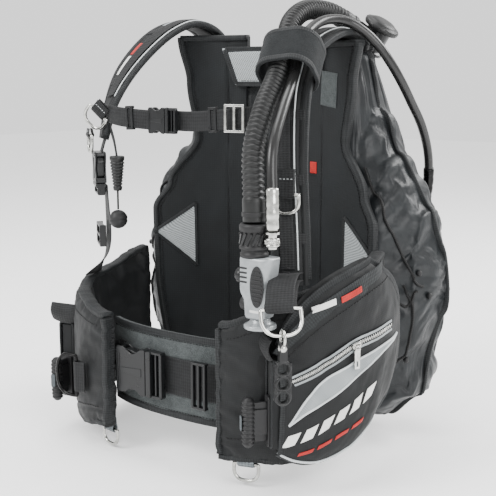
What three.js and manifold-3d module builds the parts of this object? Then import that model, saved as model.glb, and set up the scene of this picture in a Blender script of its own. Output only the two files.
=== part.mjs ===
// A buoyancy compensator vest for one scuba tank, in millimetres.
// +X is the wearer's left, -Y is in front of the chest and +Z is up. The origin is on the rear
// face of the backplate, where the tank rests, level with the middle of the tank band.
import * as THREE from 'three';
import Module from 'manifold-3d';
import { mergeVertices } from 'three/addons/utils/BufferGeometryUtils.js';

const wasm = await Module();
wasm.setup();

// ---------------------------------------------------------------------------------------------
// Driving dimensions
// ---------------------------------------------------------------------------------------------

const GAP = 0.4; // between two pieces that touch
const SIDES = { left: 1, right: -1 };

// The oval that the vest wraps round the waist: the outer face of both front lobes.
const TORSO = { halfWidth: 222, halfDepth: 158, centreY: -172, squareness: 2.4 };

const PLATE = { halfWidth: 76, bottom: -150, top: 228, thickness: 10, corner: 34 };
const GRIP_SLOT = { width: 92, height: 24, belowTop: 22 };
const TANK = { radius: 92, standOff: 3 };
const TANK_BAND = { height: 50, thickness: 3, plateHalf: 62 };
const CAM = { length: 74, height: 56, base: 4, lever: 6, pin: 4, leverLength: 60 };
const CARRY_HANDLE = { span: 62, rise: 26, width: 26, thickness: 5 };

const BACK_PAD = { halfWidth: 52, bottom: -200, top: 262, front: -58, thickness: 24 };
const COLLAR = { halfWidth: 86, taper: 20, bottom: 216, height: 52, thickness: 9 };
const SIDE_PANEL = { bottom: -196, top: { left: 272, right: 284 }, thickness: 12, curl: 0.0016 };
const BLADDER = { halfWidth: 242, pinch: 0.25 };

const LOBE = { thickness: 32, rear: 70, front: 159, spread: { left: 0, right: 8 } };
// The edges of each lobe, as [degrees round the oval, height].
const LOBE_TOP = {
  left: [[70, 6], [99, -5], [128, -26], [159, -64]],
  right: [[70, -26], [99, -52], [128, -64], [159, -78]],
};
const LOBE_BOTTOM = {
  left: [[70, -196], [99, -196], [132, -232], [159, -232]],
  right: [[70, -200], [99, -226], [128, -248], [159, -230]],
};

const SLEEVE = { length: 90, thickness: 24, height: 108, wall: 2.2 };
// The middle of each sleeve's mouth, and the degrees between its length and the +Y direction.
const MOUTH = {
  left: { x: 159, y: -304, z: -150, lean: 39.6 },
  right: { x: 201, y: -284, z: -164, lean: 10 },
};
const POUCH_PLAY = 1.2;
const PULL_HANDLE = { radius: 8.5, height: 62, standOff: 26, stem: 9, drop: -22 };

const POCKET = { thickness: 27 };
const ZIP_PULL = { at: [109, -82], length: 26, width: 8, thickness: 2, clear: 4 };
const WEBBING = { thin: 1.8, sternum: 25, shoulder: 38, waist: 50 };

const STRAP = { thickness: 11 };
const SHOULDER_BUCKLE = { x: -171, y: -242, top: 127, width: 46, length: 42, depth: 15, bar: 17 };
const STERNUM = { z: 173, y: -268, socketX: -52, length: 27, width: 33, depth: 11, bar: 16 };
const SHOULDER_SLIDER = { length: 30, depth: 9, slot: 7, rail: 2.5, along: 73, out: 7 };
const WAIST_SLIDER = { length: 22, depth: 8, slot: 6, rail: 4, along: 62 };
const WAIST = { z: -150, socketX: -84, length: 50, width: 62, depth: 15, bar: 26 };
const CUMMERBUND = { bottom: -206, top: -94, thickness: 7, inset: 46, end: 142 };
const RING_WIRE = 4.6;

const RETAINER = {
  at: [206, -347, -59], along: [0.63, 0.77, 0], post: [9, 26, 8], plate: [20, 42, 6],
  eye: 6, rim: 10, eyes: [-30, -47, -63], overlap: 2,
};

const HOSE = { radius: 13.4 };
const HOSE_BAND = {
  width: 74, depth: 66, height: 52, thickness: 4, corner: 26,
  at: [120, -205, 245], across: [0.97, 0.2, 0.11], away: [0.07, -0.72, 0.68],
};
const LP_HOSE = { radius: 6.2 };
const CONNECTOR = { stem: 5.4, flange: 8.6, bottom: -21, collarTop: -8, collarBottom: -18 };
const INFLATOR = { x: 155, y: -318, top: 26, bottom: -44, width: 44, depth: 30 };
const CUFF = { height: 38, radius: 17.5, offset: -8 };
const BUTTON = { radius: 8.6, length: 12, clearance: 0.6, boreDepth: 7, proud: 3 };
// Each button's height as a share of the body's, and how far the body's side is set in there.
const BUTTON_SEATS = { inflate: { share: 0.66, inset: 0 }, deflate: { share: 0.2, inset: 7 } };
const MOUTHPIECE = { radius: 19, height: 5 };
const ELBOW_AT = [122, -8, 274];
const ELBOW = { radius: 17, below: 12, above: 20, inlet: 14, capRadius: 25, capHeight: 13 };
const BALL = { radius: 12.5 };
const CORD = { radius: 1.4 };
const CONE = { at: [-118, -262, 78], top: 10, bottom: 5, height: 46, bore: 3, hang: 26 };

// ---------------------------------------------------------------------------------------------
// Finishes
// ---------------------------------------------------------------------------------------------

/** A material from its colour, roughness and metalness. */
function finish(color, roughness, metalness = 0) {
  return new THREE.MeshStandardMaterial({ color, roughness, metalness });
}

const NYLON = finish(0x1c1d1f, 0.7);
const SATIN_NYLON = finish(0x2b2d30, 0.5);
const NEOPRENE = finish(0x2f3236, 0.8);
const VELCRO = finish(0x55585c, 0.9);
const GREY_PAD = finish(0x6c6e70, 0.9);
const WEBBING_BLACK = finish(0x17181a, 0.8);
const BLACK_PLASTIC = finish(0x141414, 0.45);
const GREY_PLASTIC = finish(0x9a9ea2, 0.4);
const RUBBER = finish(0x2a2b2c, 0.6);
const STEEL = finish(0xc8cacc, 0.2, 1);

// ---------------------------------------------------------------------------------------------
// Geometry helpers
// ---------------------------------------------------------------------------------------------

const vest = new THREE.Group();

/** Adds one sub-part to the vest, or to a group of it. */
function add(name, geometry, material, parent = vest) {
  const mesh = new THREE.Mesh(geometry, material);
  mesh.name = name;
  parent.add(mesh);
  return mesh;
}

/** A group at a point, with its own X, Y and Z directions; Z follows from the other two. */
function frameAt(origin, xAxis = [1, 0, 0], yAxis = [0, 1, 0]) {
  const x = new THREE.Vector3(...xAxis).normalize();
  const z = x.clone().cross(new THREE.Vector3(...yAxis)).normalize();
  const y = z.clone().cross(x);
  const group = new THREE.Group();
  group.setRotationFromMatrix(new THREE.Matrix4().makeBasis(x, y, z));
  group.position.set(...origin);
  group.updateMatrixWorld();
  vest.add(group);
  return group;
}

/** The same geometry with only its positions, its shared vertices joined and its faces outwards. */
function welded(geometry) {
  const bare = geometry.clone();
  bare.deleteAttribute('normal');
  bare.deleteAttribute('uv');
  const merged = mergeVertices(bare, 1e-4);
  const { array: p } = merged.attributes.position;
  const index = merged.index.array;
  let volume = 0;
  for (let i = 0; i < index.length; i += 3) {
    const [a, b, c] = [index[i] * 3, index[i + 1] * 3, index[i + 2] * 3];
    volume += p[a] * (p[b + 1] * p[c + 2] - p[b + 2] * p[c + 1]);
    volume += p[a + 1] * (p[b + 2] * p[c] - p[b] * p[c + 2]);
    volume += p[a + 2] * (p[b] * p[c + 1] - p[b + 1] * p[c]);
  }
  if (volume < 0) merged.index.array.reverse();
  return merged;
}

function solidOf(geometry) {
  const closed = welded(geometry);
  const vertProperties = new Float32Array(closed.attributes.position.array);
  const triVerts = new Uint32Array(closed.index.array);
  return new wasm.Manifold(new wasm.Mesh({ numProp: 3, vertProperties, triVerts }));
}

function geometryOf(solid) {
  const { vertProperties, triVerts } = solid.getMesh();
  const geometry = new THREE.BufferGeometry();
  geometry.setAttribute('position', new THREE.BufferAttribute(new Float32Array(vertProperties), 3));
  geometry.setIndex(new THREE.BufferAttribute(new Uint32Array(triVerts), 1));
  return geometry;
}

/** The first geometry joined with the others. */
function join(first, ...others) {
  return geometryOf(others.reduce((sum, next) => sum.add(solidOf(next)), solidOf(first)));
}

/** The first geometry with the others cut out of it. */
function cut(first, ...others) {
  return geometryOf(others.reduce((rest, tool) => rest.subtract(solidOf(tool)), solidOf(first)));
}

/** A box with its centre at a point. */
function box(size, centre = [0, 0, 0]) {
  return new THREE.BoxGeometry(...size).translate(...centre);
}

/** A cylinder along 'x', 'y' or 'z' with its centre at a point. */
function rod(radius, length, along, centre = [0, 0, 0], sides = 20) {
  const geometry = new THREE.CylinderGeometry(radius, radius, length, sides);
  if (along === 'x') geometry.rotateZ(Math.PI / 2);
  if (along === 'z') geometry.rotateX(Math.PI / 2);
  return geometry.translate(...centre);
}

/** A turned piece whose axis is Z, from its [radius, height] outline. */
function turned(outline, sides = 24) {
  const points = outline.map(([radius, height]) => new THREE.Vector2(radius, height));
  return welded(new THREE.LatheGeometry([...points, points[0]], sides).rotateX(Math.PI / 2));
}

/** A flat piece cut from an XY outline, with its thickness along Z. */
function sheet(shape, thickness, curveSegments = 6) {
  return new THREE.ExtrudeGeometry(shape, { depth: thickness, bevelEnabled: false, curveSegments });
}

function roundedShape(width, height, corner) {
  const [x, y] = [width / 2, height / 2];
  const shape = new THREE.Shape();
  shape.moveTo(-x + corner, -y);
  shape.lineTo(x - corner, -y);
  shape.absarc(x - corner, -y + corner, corner, -Math.PI / 2, 0);
  shape.lineTo(x, y - corner);
  shape.absarc(x - corner, y - corner, corner, 0, Math.PI / 2);
  shape.lineTo(-x + corner, y);
  shape.absarc(-x + corner, y - corner, corner, Math.PI / 2, Math.PI);
  shape.lineTo(-x, -y + corner);
  shape.absarc(-x + corner, -y + corner, corner, Math.PI, Math.PI * 1.5);
  return shape;
}

function curveThrough(points) {
  return new THREE.CatmullRomCurve3(points.map((point) => new THREE.Vector3(...point)));
}

/** A round tube along a curve. */
function tube(curve, radius, steps, sides = 10) {
  const section = new THREE.Shape();
  for (let i = 0; i < sides; i++) {
    const angle = (i / sides) * Math.PI * 2;
    section[i ? 'lineTo' : 'moveTo'](radius * Math.cos(angle), radius * Math.sin(angle));
  }
  section.closePath();
  return new THREE.ExtrudeGeometry(section, { steps, extrudePath: curve, bevelEnabled: false });
}

/** A closed slab whose three directions, each 0 to 1, are sent to their places by a function. */
function slab(columns, rows, place) {
  const geometry = new THREE.BoxGeometry(1, 1, 1, columns, rows, 1);
  const position = geometry.attributes.position;
  const share = new THREE.Vector3();
  for (let i = 0; i < position.count; i++) {
    share.fromBufferAttribute(position, i).addScalar(0.5);
    position.setXYZ(i, ...place(share.x, share.y, share.z));
  }
  return welded(geometry);
}

/** How full a soft piece is at a share of its way across: thin at its seams, full in the middle. */
function fullness(share, seam = 0.45) {
  return seam + (1 - seam) * Math.sqrt(Math.max(0, 1 - (2 * share - 1) ** 4));
}

/** A strip with its flat side across a path. Each station is [centre, half width as a vector]. */
function strip(stations, thickness, steps, { seam = 1, columns = 2 } = {}) {
  const path = curveThrough(stations.map(([centre]) => centre));
  const halves = curveThrough(stations.map(([, half]) => half));
  return slab(steps, columns, (u, v, w) => {
    const half = halves.getPoint(u);
    const normal = path.getTangent(u).cross(half).normalize();
    const lift = thickness * (w - 0.5) * fullness(v, seam);
    return path.getPoint(u).addScaledVector(half, 2 * v - 1).addScaledVector(normal, lift);
  });
}

/** The value at a place along a list of [place, value] points, eased between them. */
function eased(points, place) {
  const next = points.findIndex(([at]) => at >= place);
  if (next === 0) return points[0][1];
  if (next < 0) return points.at(-1)[1];
  const [[from, first], [to, last]] = [points[next - 1], points[next]];
  const share = (place - from) / (to - from);
  return first + (last - first) * share * share * (3 - 2 * share);
}

/** A point on the waist oval: 0 degrees is behind, 90 at the side and 180 in front. */
function onOval(degrees, z, out = 0, side = 1) {
  const angle = THREE.MathUtils.degToRad(degrees);
  const bend = (value) => Math.sign(value) * Math.abs(value) ** (2 / TORSO.squareness);
  const x = (TORSO.halfWidth + out) * bend(Math.sin(angle));
  const y = TORSO.centreY + (TORSO.halfDepth + out) * bend(Math.cos(angle));
  return [side * x, y, z];
}

/** The front face of the side panels, which curl forward away from the spine. */
function panelFace(x) {
  return BACK_PAD.front - SIDE_PANEL.curl * x * x;
}

// ---------------------------------------------------------------------------------------------
// Backplate and tank band
// ---------------------------------------------------------------------------------------------

const TANK_CENTRE = TANK.radius + TANK.standOff;
const BAND_FRONT = -PLATE.thickness - GAP;

/** The plan of a loop that is flat in front of the plate and round behind the tank. */
function bandOutline(grow) {
  const corner = new THREE.Vector2(TANK_BAND.plateHalf + grow, BAND_FRONT - grow);
  const radius = TANK.radius + GAP + grow;
  const fromCentre = new THREE.Vector2(corner.x, corner.y - TANK_CENTRE);
  const touch = fromCentre.angle() + Math.acos(radius / fromCentre.length());
  const outline = new THREE.Shape();
  outline.moveTo(-corner.x, corner.y);
  outline.lineTo(corner.x, corner.y);
  outline.absarc(0, TANK_CENTRE, radius, touch - Math.PI * 2, Math.PI - touch, false);
  outline.closePath();
  return outline;
}

function bandLoop(inner, outer, height) {
  const outline = bandOutline(outer);
  outline.holes.push(bandOutline(inner));
  return sheet(outline, height, 22).translate(0, 0, -height / 2);
}

function buildPlate() {
  const height = PLATE.top - PLATE.bottom;
  const outline = roundedShape(PLATE.halfWidth * 2, height, PLATE.corner);
  const slot = roundedShape(GRIP_SLOT.width, GRIP_SLOT.height, GRIP_SLOT.height / 2 - 1);
  const blank = sheet(outline, PLATE.thickness).rotateX(Math.PI / 2);
  blank.translate(0, 0, (PLATE.top + PLATE.bottom) / 2);
  const grip = sheet(slot, PLATE.thickness * 3).rotateX(Math.PI / 2);
  const gripHeight = PLATE.top - GRIP_SLOT.belowTop - GRIP_SLOT.height / 2;
  grip.translate(0, PLATE.thickness, gripHeight);
  const bandSlots = bandLoop(-GAP, TANK_BAND.thickness + GAP, TANK_BAND.height + 2 * GAP);
  add('backplate', cut(blank, grip, bandSlots), BLACK_PLASTIC);
}

function buildTankBand() {
  add('tank_band', bandLoop(0, TANK_BAND.thickness, TANK_BAND.height), WEBBING_BLACK);
  const outside = TANK_CENTRE + TANK.radius + GAP + TANK_BAND.thickness;
  const group = frameAt([0, outside + GAP, 0]);
  const lugHeight = (CAM.height - (TANK_BAND.height - 2)) / 2;
  const lugDepth = CAM.lever + CAM.pin;
  const pinX = -CAM.leverLength / 2;
  const pinY = CAM.base + lugDepth / 2;
  const lug = (sign) => box(
    [CAM.pin * 3, lugDepth + 1, lugHeight],
    [pinX, CAM.base + lugDepth / 2 - 0.5, (sign * (CAM.height - lugHeight)) / 2],
  );
  const base = box([CAM.length, CAM.base, CAM.height], [0, CAM.base / 2, 0]);
  add('cam_buckle', join(base, lug(1), lug(-1)), STEEL, group);
  const leverHeight = CAM.height - 2 * lugHeight - 2 * GAP;
  const barrel = rod(CAM.lever / 2 + 0.6, leverHeight, 'z', [pinX, pinY, 0], 16);
  const blade = box(
    [CAM.leverLength, CAM.lever / 2, leverHeight],
    [pinX + CAM.leverLength / 2, pinY, 0],
  );
  add('cam_lever', join(barrel, blade), BLACK_PLASTIC, group);
}

function buildCarryHandle() {
  const { span, rise, width, thickness } = CARRY_HANDLE;
  const z = PLATE.top - GRIP_SLOT.belowTop / 2 - thickness;
  const half = [0, 0, width / 2];
  const foot = thickness / 2 + GAP;
  const stations = [-1, -0.8, -0.35, 0.35, 0.8, 1].map((share) => {
    const out = Math.abs(share) > 0.9 ? 0 : Math.cos((share * Math.PI) / 2) ** 0.5;
    return [[share * span, foot + rise * out, z - width / 2], half];
  });
  add('carry_handle', strip(stations, thickness, 16), RUBBER);
}

// ---------------------------------------------------------------------------------------------
// Back pad, collar, side panels and bladder
// ---------------------------------------------------------------------------------------------

function buildBackPad() {
  const { halfWidth, bottom, top, front, thickness } = BACK_PAD;
  add('back_pad', slab(4, 10, (u, v, w) => {
    const rear = front + thickness;
    const y = w < 0.5 ? rear : front + thickness * 0.25 * (1 - fullness(u, 0.3));
    return [(2 * u - 1) * halfWidth, y, bottom + (top - bottom) * v];
  }), NYLON);
  const { halfWidth: wide, taper, bottom: low, height, thickness: deep } = COLLAR;
  add('collar_pad', slab(4, 2, (u, v, w) => {
    const x = (2 * u - 1) * (wide - taper * (1 - v));
    const rest = panelFace(x) - GAP;
    return [x, w < 0.5 ? rest : rest - deep * fullness(u, 0.5), low + height * v];
  }), GREY_PAD);
}

// How far the side panels reach from the spine at each height: the edge of the armhole.
const ARMHOLE = [[-196, 172], [-60, 184], [33, 186], [72, 166], [140, 127], [220, 138], [284, 150]];

function buildSidePanel(key) {
  const side = SIDES[key];
  const inner = BACK_PAD.halfWidth + GAP;
  const height = SIDE_PANEL.top[key] - SIDE_PANEL.bottom;
  add(`side_panel_${key}`, slab(5, 14, (u, v, w) => {
    const z = SIDE_PANEL.bottom + height * v;
    const x = inner + (eased(ARMHOLE, z) - inner) * u;
    const front = panelFace(x);
    return [side * x, w < 0.5 ? front : front + SIDE_PANEL.thickness, z];
  }), NEOPRENE);
}

// The bladder's outline and its front and rear faces, each by distance from the spine.
const BLADDER_BOTTOM = [[0, -148], [78, -160], [112, -226], [170, -238], [215, -204], [242, -80]];
const BLADDER_TOP = [[0, 250], [70, 260], [126, 260], [144, 180], [176, 124], [224, 52], [242, -20]];
const BLADDER_FRONT = [[0, 0], [66, 0], [92, -18], [130, -36], [190, -63], [226, -34], [242, 26]];
const BLADDER_REAR = [[0, 10], [78, 10], [112, 40], [160, 82], [205, 76], [242, 34]];

function buildBladder() {
  const behindPad = BACK_PAD.front + BACK_PAD.thickness + GAP;
  add('air_bladder', slab(22, 12, (u, v, w) => {
    const x = (2 * u - 1) * BLADDER.halfWidth;
    const reach = Math.abs(x);
    const bottom = eased(BLADDER_BOTTOM, reach);
    const z = bottom + (eased(BLADDER_TOP, reach) - bottom) * v;
    const [front, rear] = [eased(BLADDER_FRONT, reach), eased(BLADDER_REAR, reach)];
    const middle = (front + rear) / 2;
    const face = w < 0.5 ? rear : front;
    const soft = reach < BLADDER_FRONT[2][0] ? 1 : fullness(v, BLADDER.pinch);
    return [x, behindPad + middle + (face - middle) * soft, z];
  }), SATIN_NYLON);
}

// ---------------------------------------------------------------------------------------------
// Front lobes, weight sleeves, pouches and cargo pocket
// ---------------------------------------------------------------------------------------------

/** The group whose origin is the middle of a sleeve's mouth and whose +Y runs into the sleeve. */
function sleeveFrame(key) {
  const { x, y, z, lean } = MOUTH[key];
  const side = SIDES[key];
  const angle = THREE.MathUtils.degToRad(lean);
  const inward = [side * Math.sin(angle), Math.cos(angle), 0];
  const across = [Math.cos(angle), -side * Math.sin(angle), 0];
  return frameAt([side * x, y, z], across, inward);
}

/** The room that a sleeve takes, as a world-space tool for cutting its neighbours. */
function sleeveRoom(key) {
  const { length, thickness, height } = SLEEVE;
  const lead = 60; // how far the room reaches in front of the mouth
  const size = [thickness + 2 * GAP, length + GAP + lead, height + 2 * GAP];
  const room = box(size, [0, (length + GAP - lead) / 2, 0]);
  const group = sleeveFrame(key);
  vest.remove(group);
  group.updateMatrix();
  return room.applyMatrix4(group.matrix);
}

function buildLobe(key) {
  const side = SIDES[key];
  const blank = slab(9, 4, (u, v, w) => {
    const angle = LOBE.rear + (LOBE.front - LOBE.rear) * u;
    const bottom = eased(LOBE_BOTTOM[key], angle);
    const z = bottom + (eased(LOBE_TOP[key], angle) - bottom) * v;
    const half = (LOBE.thickness / 2) * fullness(v, 0.5) * fullness(u, 0.6);
    const middle = LOBE.spread[key] - LOBE.thickness / 2;
    return onOval(angle, z, middle + (w < 0.5 ? -half : half), side);
  });
  add(`lobe_${key}`, cut(blank, sleeveRoom(key)), NYLON);
}

function buildWeightPocket(key) {
  const { length, thickness, height, wall } = SLEEVE;
  const group = sleeveFrame(key);
  const outer = box([thickness, length, height], [0, length / 2, 0]);
  const hollow = box([thickness - 2 * wall, length, height - 2 * wall], [0, length / 2 - wall, 0]);
  add(`weight_sleeve_${key}`, cut(outer, hollow), NYLON, group);
  const play = wall + POUCH_PLAY;
  const pouchLength = length - wall - POUCH_PLAY;
  const pouch = box([thickness - 2 * play, pouchLength, height - 2 * play], [0, pouchLength / 2, 0]);
  add(`weight_pouch_${key}`, pouch, SATIN_NYLON, group);
  const { radius, height: grip, standOff, stem, drop } = PULL_HANDLE;
  const bar = rod(radius, grip, 'z', [0, -standOff, drop], 14);
  const neck = box([stem, standOff - GAP, grip / 2], [0, -(standOff + GAP) / 2, drop]);
  const foot = box([thickness - 2 * play, 4, grip], [0, -2 - GAP, drop]);
  add(`weight_handle_${key}`, join(bar, neck, foot), BLACK_PLASTIC, group);
}

// The pocket's outline: corners and edge middles as [degrees round the oval, height].
const POCKET_EDGE = {
  lowFront: [137, -216], low: [117, -224], lowRear: [94, -184],
  front: [136, -150], rear: [78, -72],
  topFront: [137, -78], top: [124, -16], topRear: [97, 15],
};

/** A point inside an outline of four corners and four edge middles. */
function insideOutline(edge, u, v) {
  const [s, t] = [2 * u - 1, 2 * v - 1];
  const corner = (i, j) => 0.25 * (1 + i * s) * (1 + j * t) * (i * s + j * t - 1);
  const weights = [
    [edge.lowFront, corner(-1, -1)], [edge.lowRear, corner(1, -1)],
    [edge.topFront, corner(-1, 1)], [edge.topRear, corner(1, 1)],
    [edge.low, 0.5 * (1 - s * s) * (1 - t)], [edge.top, 0.5 * (1 - s * s) * (1 + t)],
    [edge.front, 0.5 * (1 - s) * (1 - t * t)], [edge.rear, 0.5 * (1 + s) * (1 - t * t)],
  ];
  return [0, 1].map((axis) => weights.reduce((sum, [point, share]) => sum + point[axis] * share, 0));
}

/** The zip's pull tab, hanging flat on the pocket from its slider. */
function buildZipPull() {
  const { at, length, width, thickness } = ZIP_PULL;
  const out = GAP + 1 + POCKET.thickness + ZIP_PULL.clear;
  const [x, y, z] = onOval(...at, out);
  const [nextX, nextY] = onOval(at[0] - 2, 0, out);
  const group = frameAt([x, y, z], [nextX - x, nextY - y, 0], [0, 0, 1]);
  const tab = box([width, length, thickness], [0, -length / 2, 0]);
  const eye = box([width / 3, length / 4, thickness * 3], [0, -length * 0.76, 0]);
  const knuckle = rod(thickness, width, 'x', [0, -thickness, 0], 10);
  add('zip_pull', cut(join(tab, knuckle), eye), STEEL, group);
}

/** The left pocket for small gear, bulging where its edges leave it free. */
function buildCargoPocket() {
  const blank = slab(8, 6, (u, v, w) => {
    const [angle, z] = insideOutline(POCKET_EDGE, u, v);
    const bulge = fullness(v, 0.35) * fullness(u, 0.35);
    return onOval(angle, z, w < 0.5 ? GAP + 1 : GAP + 1 + POCKET.thickness * bulge);
  });
  add('cargo_pocket', cut(blank, sleeveRoom('left')), NYLON);
}

// ---------------------------------------------------------------------------------------------
// Shoulder straps and their buckle
// ---------------------------------------------------------------------------------------------

// Middle of each padded strap from behind the shoulder down to the chest, with its half width.
const STRAP_PATH = {
  right: [
    [[-118, -49, 266], [21, 0, 0]],
    [[-121, -51, 282], [22, 0, 0]],
    [[-127, -72, 298], [22, 0, 0]],
    [[-138, -97, 302], [22, 2, 0]],
    [[-153, -130, 287], [21, 2, 0]],
    [[-167, -182, 240], [20, -3, 0]],
    [[-166, -220, 192], [16, -8, 0]],
    [[-165, -238, 144], [14, -11, 0]],
  ],
  left: [
    [[118, -49, 262.5], [21, 0, 0]],
    [[118, -52, 272], [23, 0, 0]],
    [[114, -72, 283], [24, 0, 0]],
    [[112, -108, 282], [24, 0, 0]],
    [[111, -168, 256], [24, 5, 3]],
    [[119, -192, 233], [24, 5, 3]],
    [[127, -216, 206], [24, 4, 1]],
    [[140, -240, 128], [20, 8, 0]],
    [[158, -260, 40], [18, 10, 0]],
    [[166, -270, -14], [17, 12, 0]],
  ],
};

function buildShoulderStraps() {
  const shape = { seam: 0.5, columns: 4 };
  add('shoulder_strap_right', strip(STRAP_PATH.right, STRAP.thickness, 18, shape), NYLON);
  add('shoulder_strap_left', strip(STRAP_PATH.left, STRAP.thickness, 24, shape), NYLON);
}

/** The hollow half of a side-release buckle: its mouth is at the origin and faces -X. */
function socketGeometry({ length, width, depth }, wall = 2.4) {
  const body = box([length, depth, width], [length / 2, 0, 0]);
  const hollow = box(
    [length - wall, depth - 2 * wall, width - 2 * wall],
    [(length - wall) / 2 - 0.5, 0, 0],
  );
  return cut(body, hollow);
}

/** The pronged half: its shoulder is at the origin, with the prongs along +X. */
function plugGeometry({ length, width, depth, bar }, wall = 2.4) {
  const inner = width - 2 * wall - 2 * GAP;
  const reach = length - wall - 2.5;
  const thick = depth - 2 * wall - 2 * GAP;
  const root = 1 + GAP; // how far the prongs run back into the base
  const prong = (share) => box(
    [reach + root, thick, inner * 0.2],
    [(reach - root) / 2, 0, share * inner * 0.4],
  );
  const base = box([bar, depth, width], [-bar / 2 - GAP, 0, 0]);
  const slot = box([bar * 0.36, depth * 2, width - 4 * wall], [-bar * 0.6, 0, 0]);
  return cut(join(base, prong(1), prong(0), prong(-1)), slot);
}

/** A ladder slider: a frame with a slot on each side of its middle bar. */
function sliderGeometry({ length, depth, slot, rail }, width) {
  const height = width - 2;
  const slots = [-1, 1].map((sign) => box(
    [slot, depth * 3, height - 2 * rail], [(sign * length) / 4, 0, 0],
  ));
  return cut(box([length, depth, height]), ...slots);
}

function buildShoulderBuckle() {
  const { x, y, top, length, depth } = SHOULDER_BUCKLE;
  const inward = [0.64, 0.77]; // from the buckle towards the wearer
  const group = frameAt([x, y, top - length], [0, 0, 1], [...inward, 0]);
  add('shoulder_buckle_socket', socketGeometry(SHOULDER_BUCKLE), BLACK_PLASTIC, group);
  add('shoulder_buckle_plug', plugGeometry(SHOULDER_BUCKLE), BLACK_PLASTIC, group);
  const behind = depth / 2 + WEBBING.thin / 2 + GAP;
  const start = [x + inward[0] * behind, y + inward[1] * behind, top - length - 4];
  const half = [(inward[1] * WEBBING.shoulder) / 2, (-inward[0] * WEBBING.shoulder) / 2, 0];
  const hem = 106; // degrees round the oval where the webbing is sewn to the lobe
  const lobeTop = eased(LOBE_TOP.right, hem) + 3;
  const [endX, endY] = onOval(hem, lobeTop, LOBE.spread.right - LOBE.thickness / 2, -1);
  add('shoulder_webbing_right', strip([
    [start, half],
    [[start[0], start[1], start[2] - 90], half],
    [[endX, endY, lobeTop], [3, -19, 0]],
  ], WEBBING.thin, 12), WEBBING_BLACK);
  const slider = sliderGeometry(SHOULDER_SLIDER, SHOULDER_BUCKLE.width);
  slider.translate(-SHOULDER_SLIDER.along, SHOULDER_SLIDER.out - depth / 2, 0);
  add('shoulder_slider', slider, BLACK_PLASTIC, group);
}

// ---------------------------------------------------------------------------------------------
// Sternum strap
// ---------------------------------------------------------------------------------------------

function buildSternumStrap() {
  const { z, y, socketX, length, bar, depth } = STERNUM;
  const group = frameAt([socketX + length, y, z], [-1, 0, 0], [0, -1, 0]);
  add('sternum_socket', socketGeometry(STERNUM), BLACK_PLASTIC, group);
  add('sternum_plug', plugGeometry(STERNUM), BLACK_PLASTIC, group);
  const half = [0, 0, WEBBING.sternum / 2];
  const behind = y + depth / 2 + WEBBING.thin / 2 + GAP;
  const webbing = (points) => strip(points.map((point) => [point, half]), WEBBING.thin, 10);
  add('sternum_webbing_right', webbing([
    [socketX + length / 2, behind, z], [socketX - 8, behind, z],
    [-110, -262, z + 3], [-141, -251, z + 6],
  ]), WEBBING_BLACK);
  const plugEnd = socketX + length + bar;
  add('sternum_webbing_left', webbing([
    [socketX + length + 3, behind, z], [plugEnd + 26, behind, z],
    [88, -258, z + 6], [110, -243, z + 9],
  ]), WEBBING_BLACK);
  const frame = sheet(roundedShape(26, 34, 4), 3);
  const windows = [-1, 1].map((sign) => box([8, 26, 12], [sign * 6, 0, 0]));
  const glide = frameAt([78, -264, z + 5], [1, 0.3, 0], [0, 0, 1]);
  add('sternum_triglide', cut(frame, ...windows), STEEL, glide);
}

// ---------------------------------------------------------------------------------------------
// Cummerbund and waist belt
// ---------------------------------------------------------------------------------------------

function frontArc(degrees, z, out) {
  const side = degrees > 180 ? -1 : 1;
  return onOval(side > 0 ? degrees : 360 - degrees, z, out, side);
}

function buildCummerbund() {
  const { bottom, top, thickness, inset, end } = CUMMERBUND;
  add('cummerbund', slab(14, 2, (u, v, w) => {
    const angle = end + (360 - 2 * end) * u;
    return frontArc(angle, bottom + (top - bottom) * v, -inset + (w < 0.5 ? 0 : thickness));
  }), VELCRO);
  const { z, socketX, length, bar } = WAIST;
  const clear = thickness - inset + GAP;
  const belt = (from, to) => slab(8, 1, (u, v, w) => {
    const angle = from + (to - from) * u;
    const height = z + WEBBING.waist * (v - 0.5);
    return frontArc(angle, height, clear + (w < 0.5 ? 0 : WEBBING.thin));
  });
  add('waist_belt_left', belt(end + 2, 184), WEBBING_BLACK);
  add('waist_belt_right', belt(186, 360 - end - 2), WEBBING_BLACK);
  const beltFace = TORSO.centreY - TORSO.halfDepth - clear - WEBBING.thin;
  const group = frameAt([socketX + length, beltFace - GAP - WAIST.depth / 2, z], [-1, 0, 0], [0, -1, 0]);
  add('waist_socket', socketGeometry(WAIST), BLACK_PLASTIC, group);
  add('waist_plug', plugGeometry(WAIST), BLACK_PLASTIC, group);
  const slider = sliderGeometry(WAIST_SLIDER, WAIST.width);
  slider.translate(-bar - WAIST_SLIDER.along, (WAIST.depth - WAIST_SLIDER.depth) / 2, 0);
  add('waist_slider', slider, BLACK_PLASTIC, group);
}

// ---------------------------------------------------------------------------------------------
// D-rings and retainer clip
// ---------------------------------------------------------------------------------------------

/** A flat D with its straight bar on the X axis and its bow towards -Y. */
function ringGeometry(span, reach, wire = RING_WIRE) {
  const bow = (half, deep) => {
    const path = new THREE.Path();
    path.moveTo(half, 0);
    path.lineTo(-half, 0);
    path.lineTo(-half, -deep * 0.35);
    path.absellipse(0, -deep * 0.35, half, deep * 0.65, Math.PI, Math.PI * 2, false);
    path.closePath();
    return path;
  };
  const shape = new THREE.Shape(bow(span / 2 + wire, reach + wire).getPoints(5));
  const hole = new THREE.Path(bow(span / 2, reach - wire / 2).getPoints(5));
  const raised = hole.getPoints().map((point) => new THREE.Vector2(point.x, point.y - wire));
  shape.holes.push(new THREE.Path(raised));
  return sheet(shape, wire).translate(0, wire / 2, -wire / 2);
}

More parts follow.
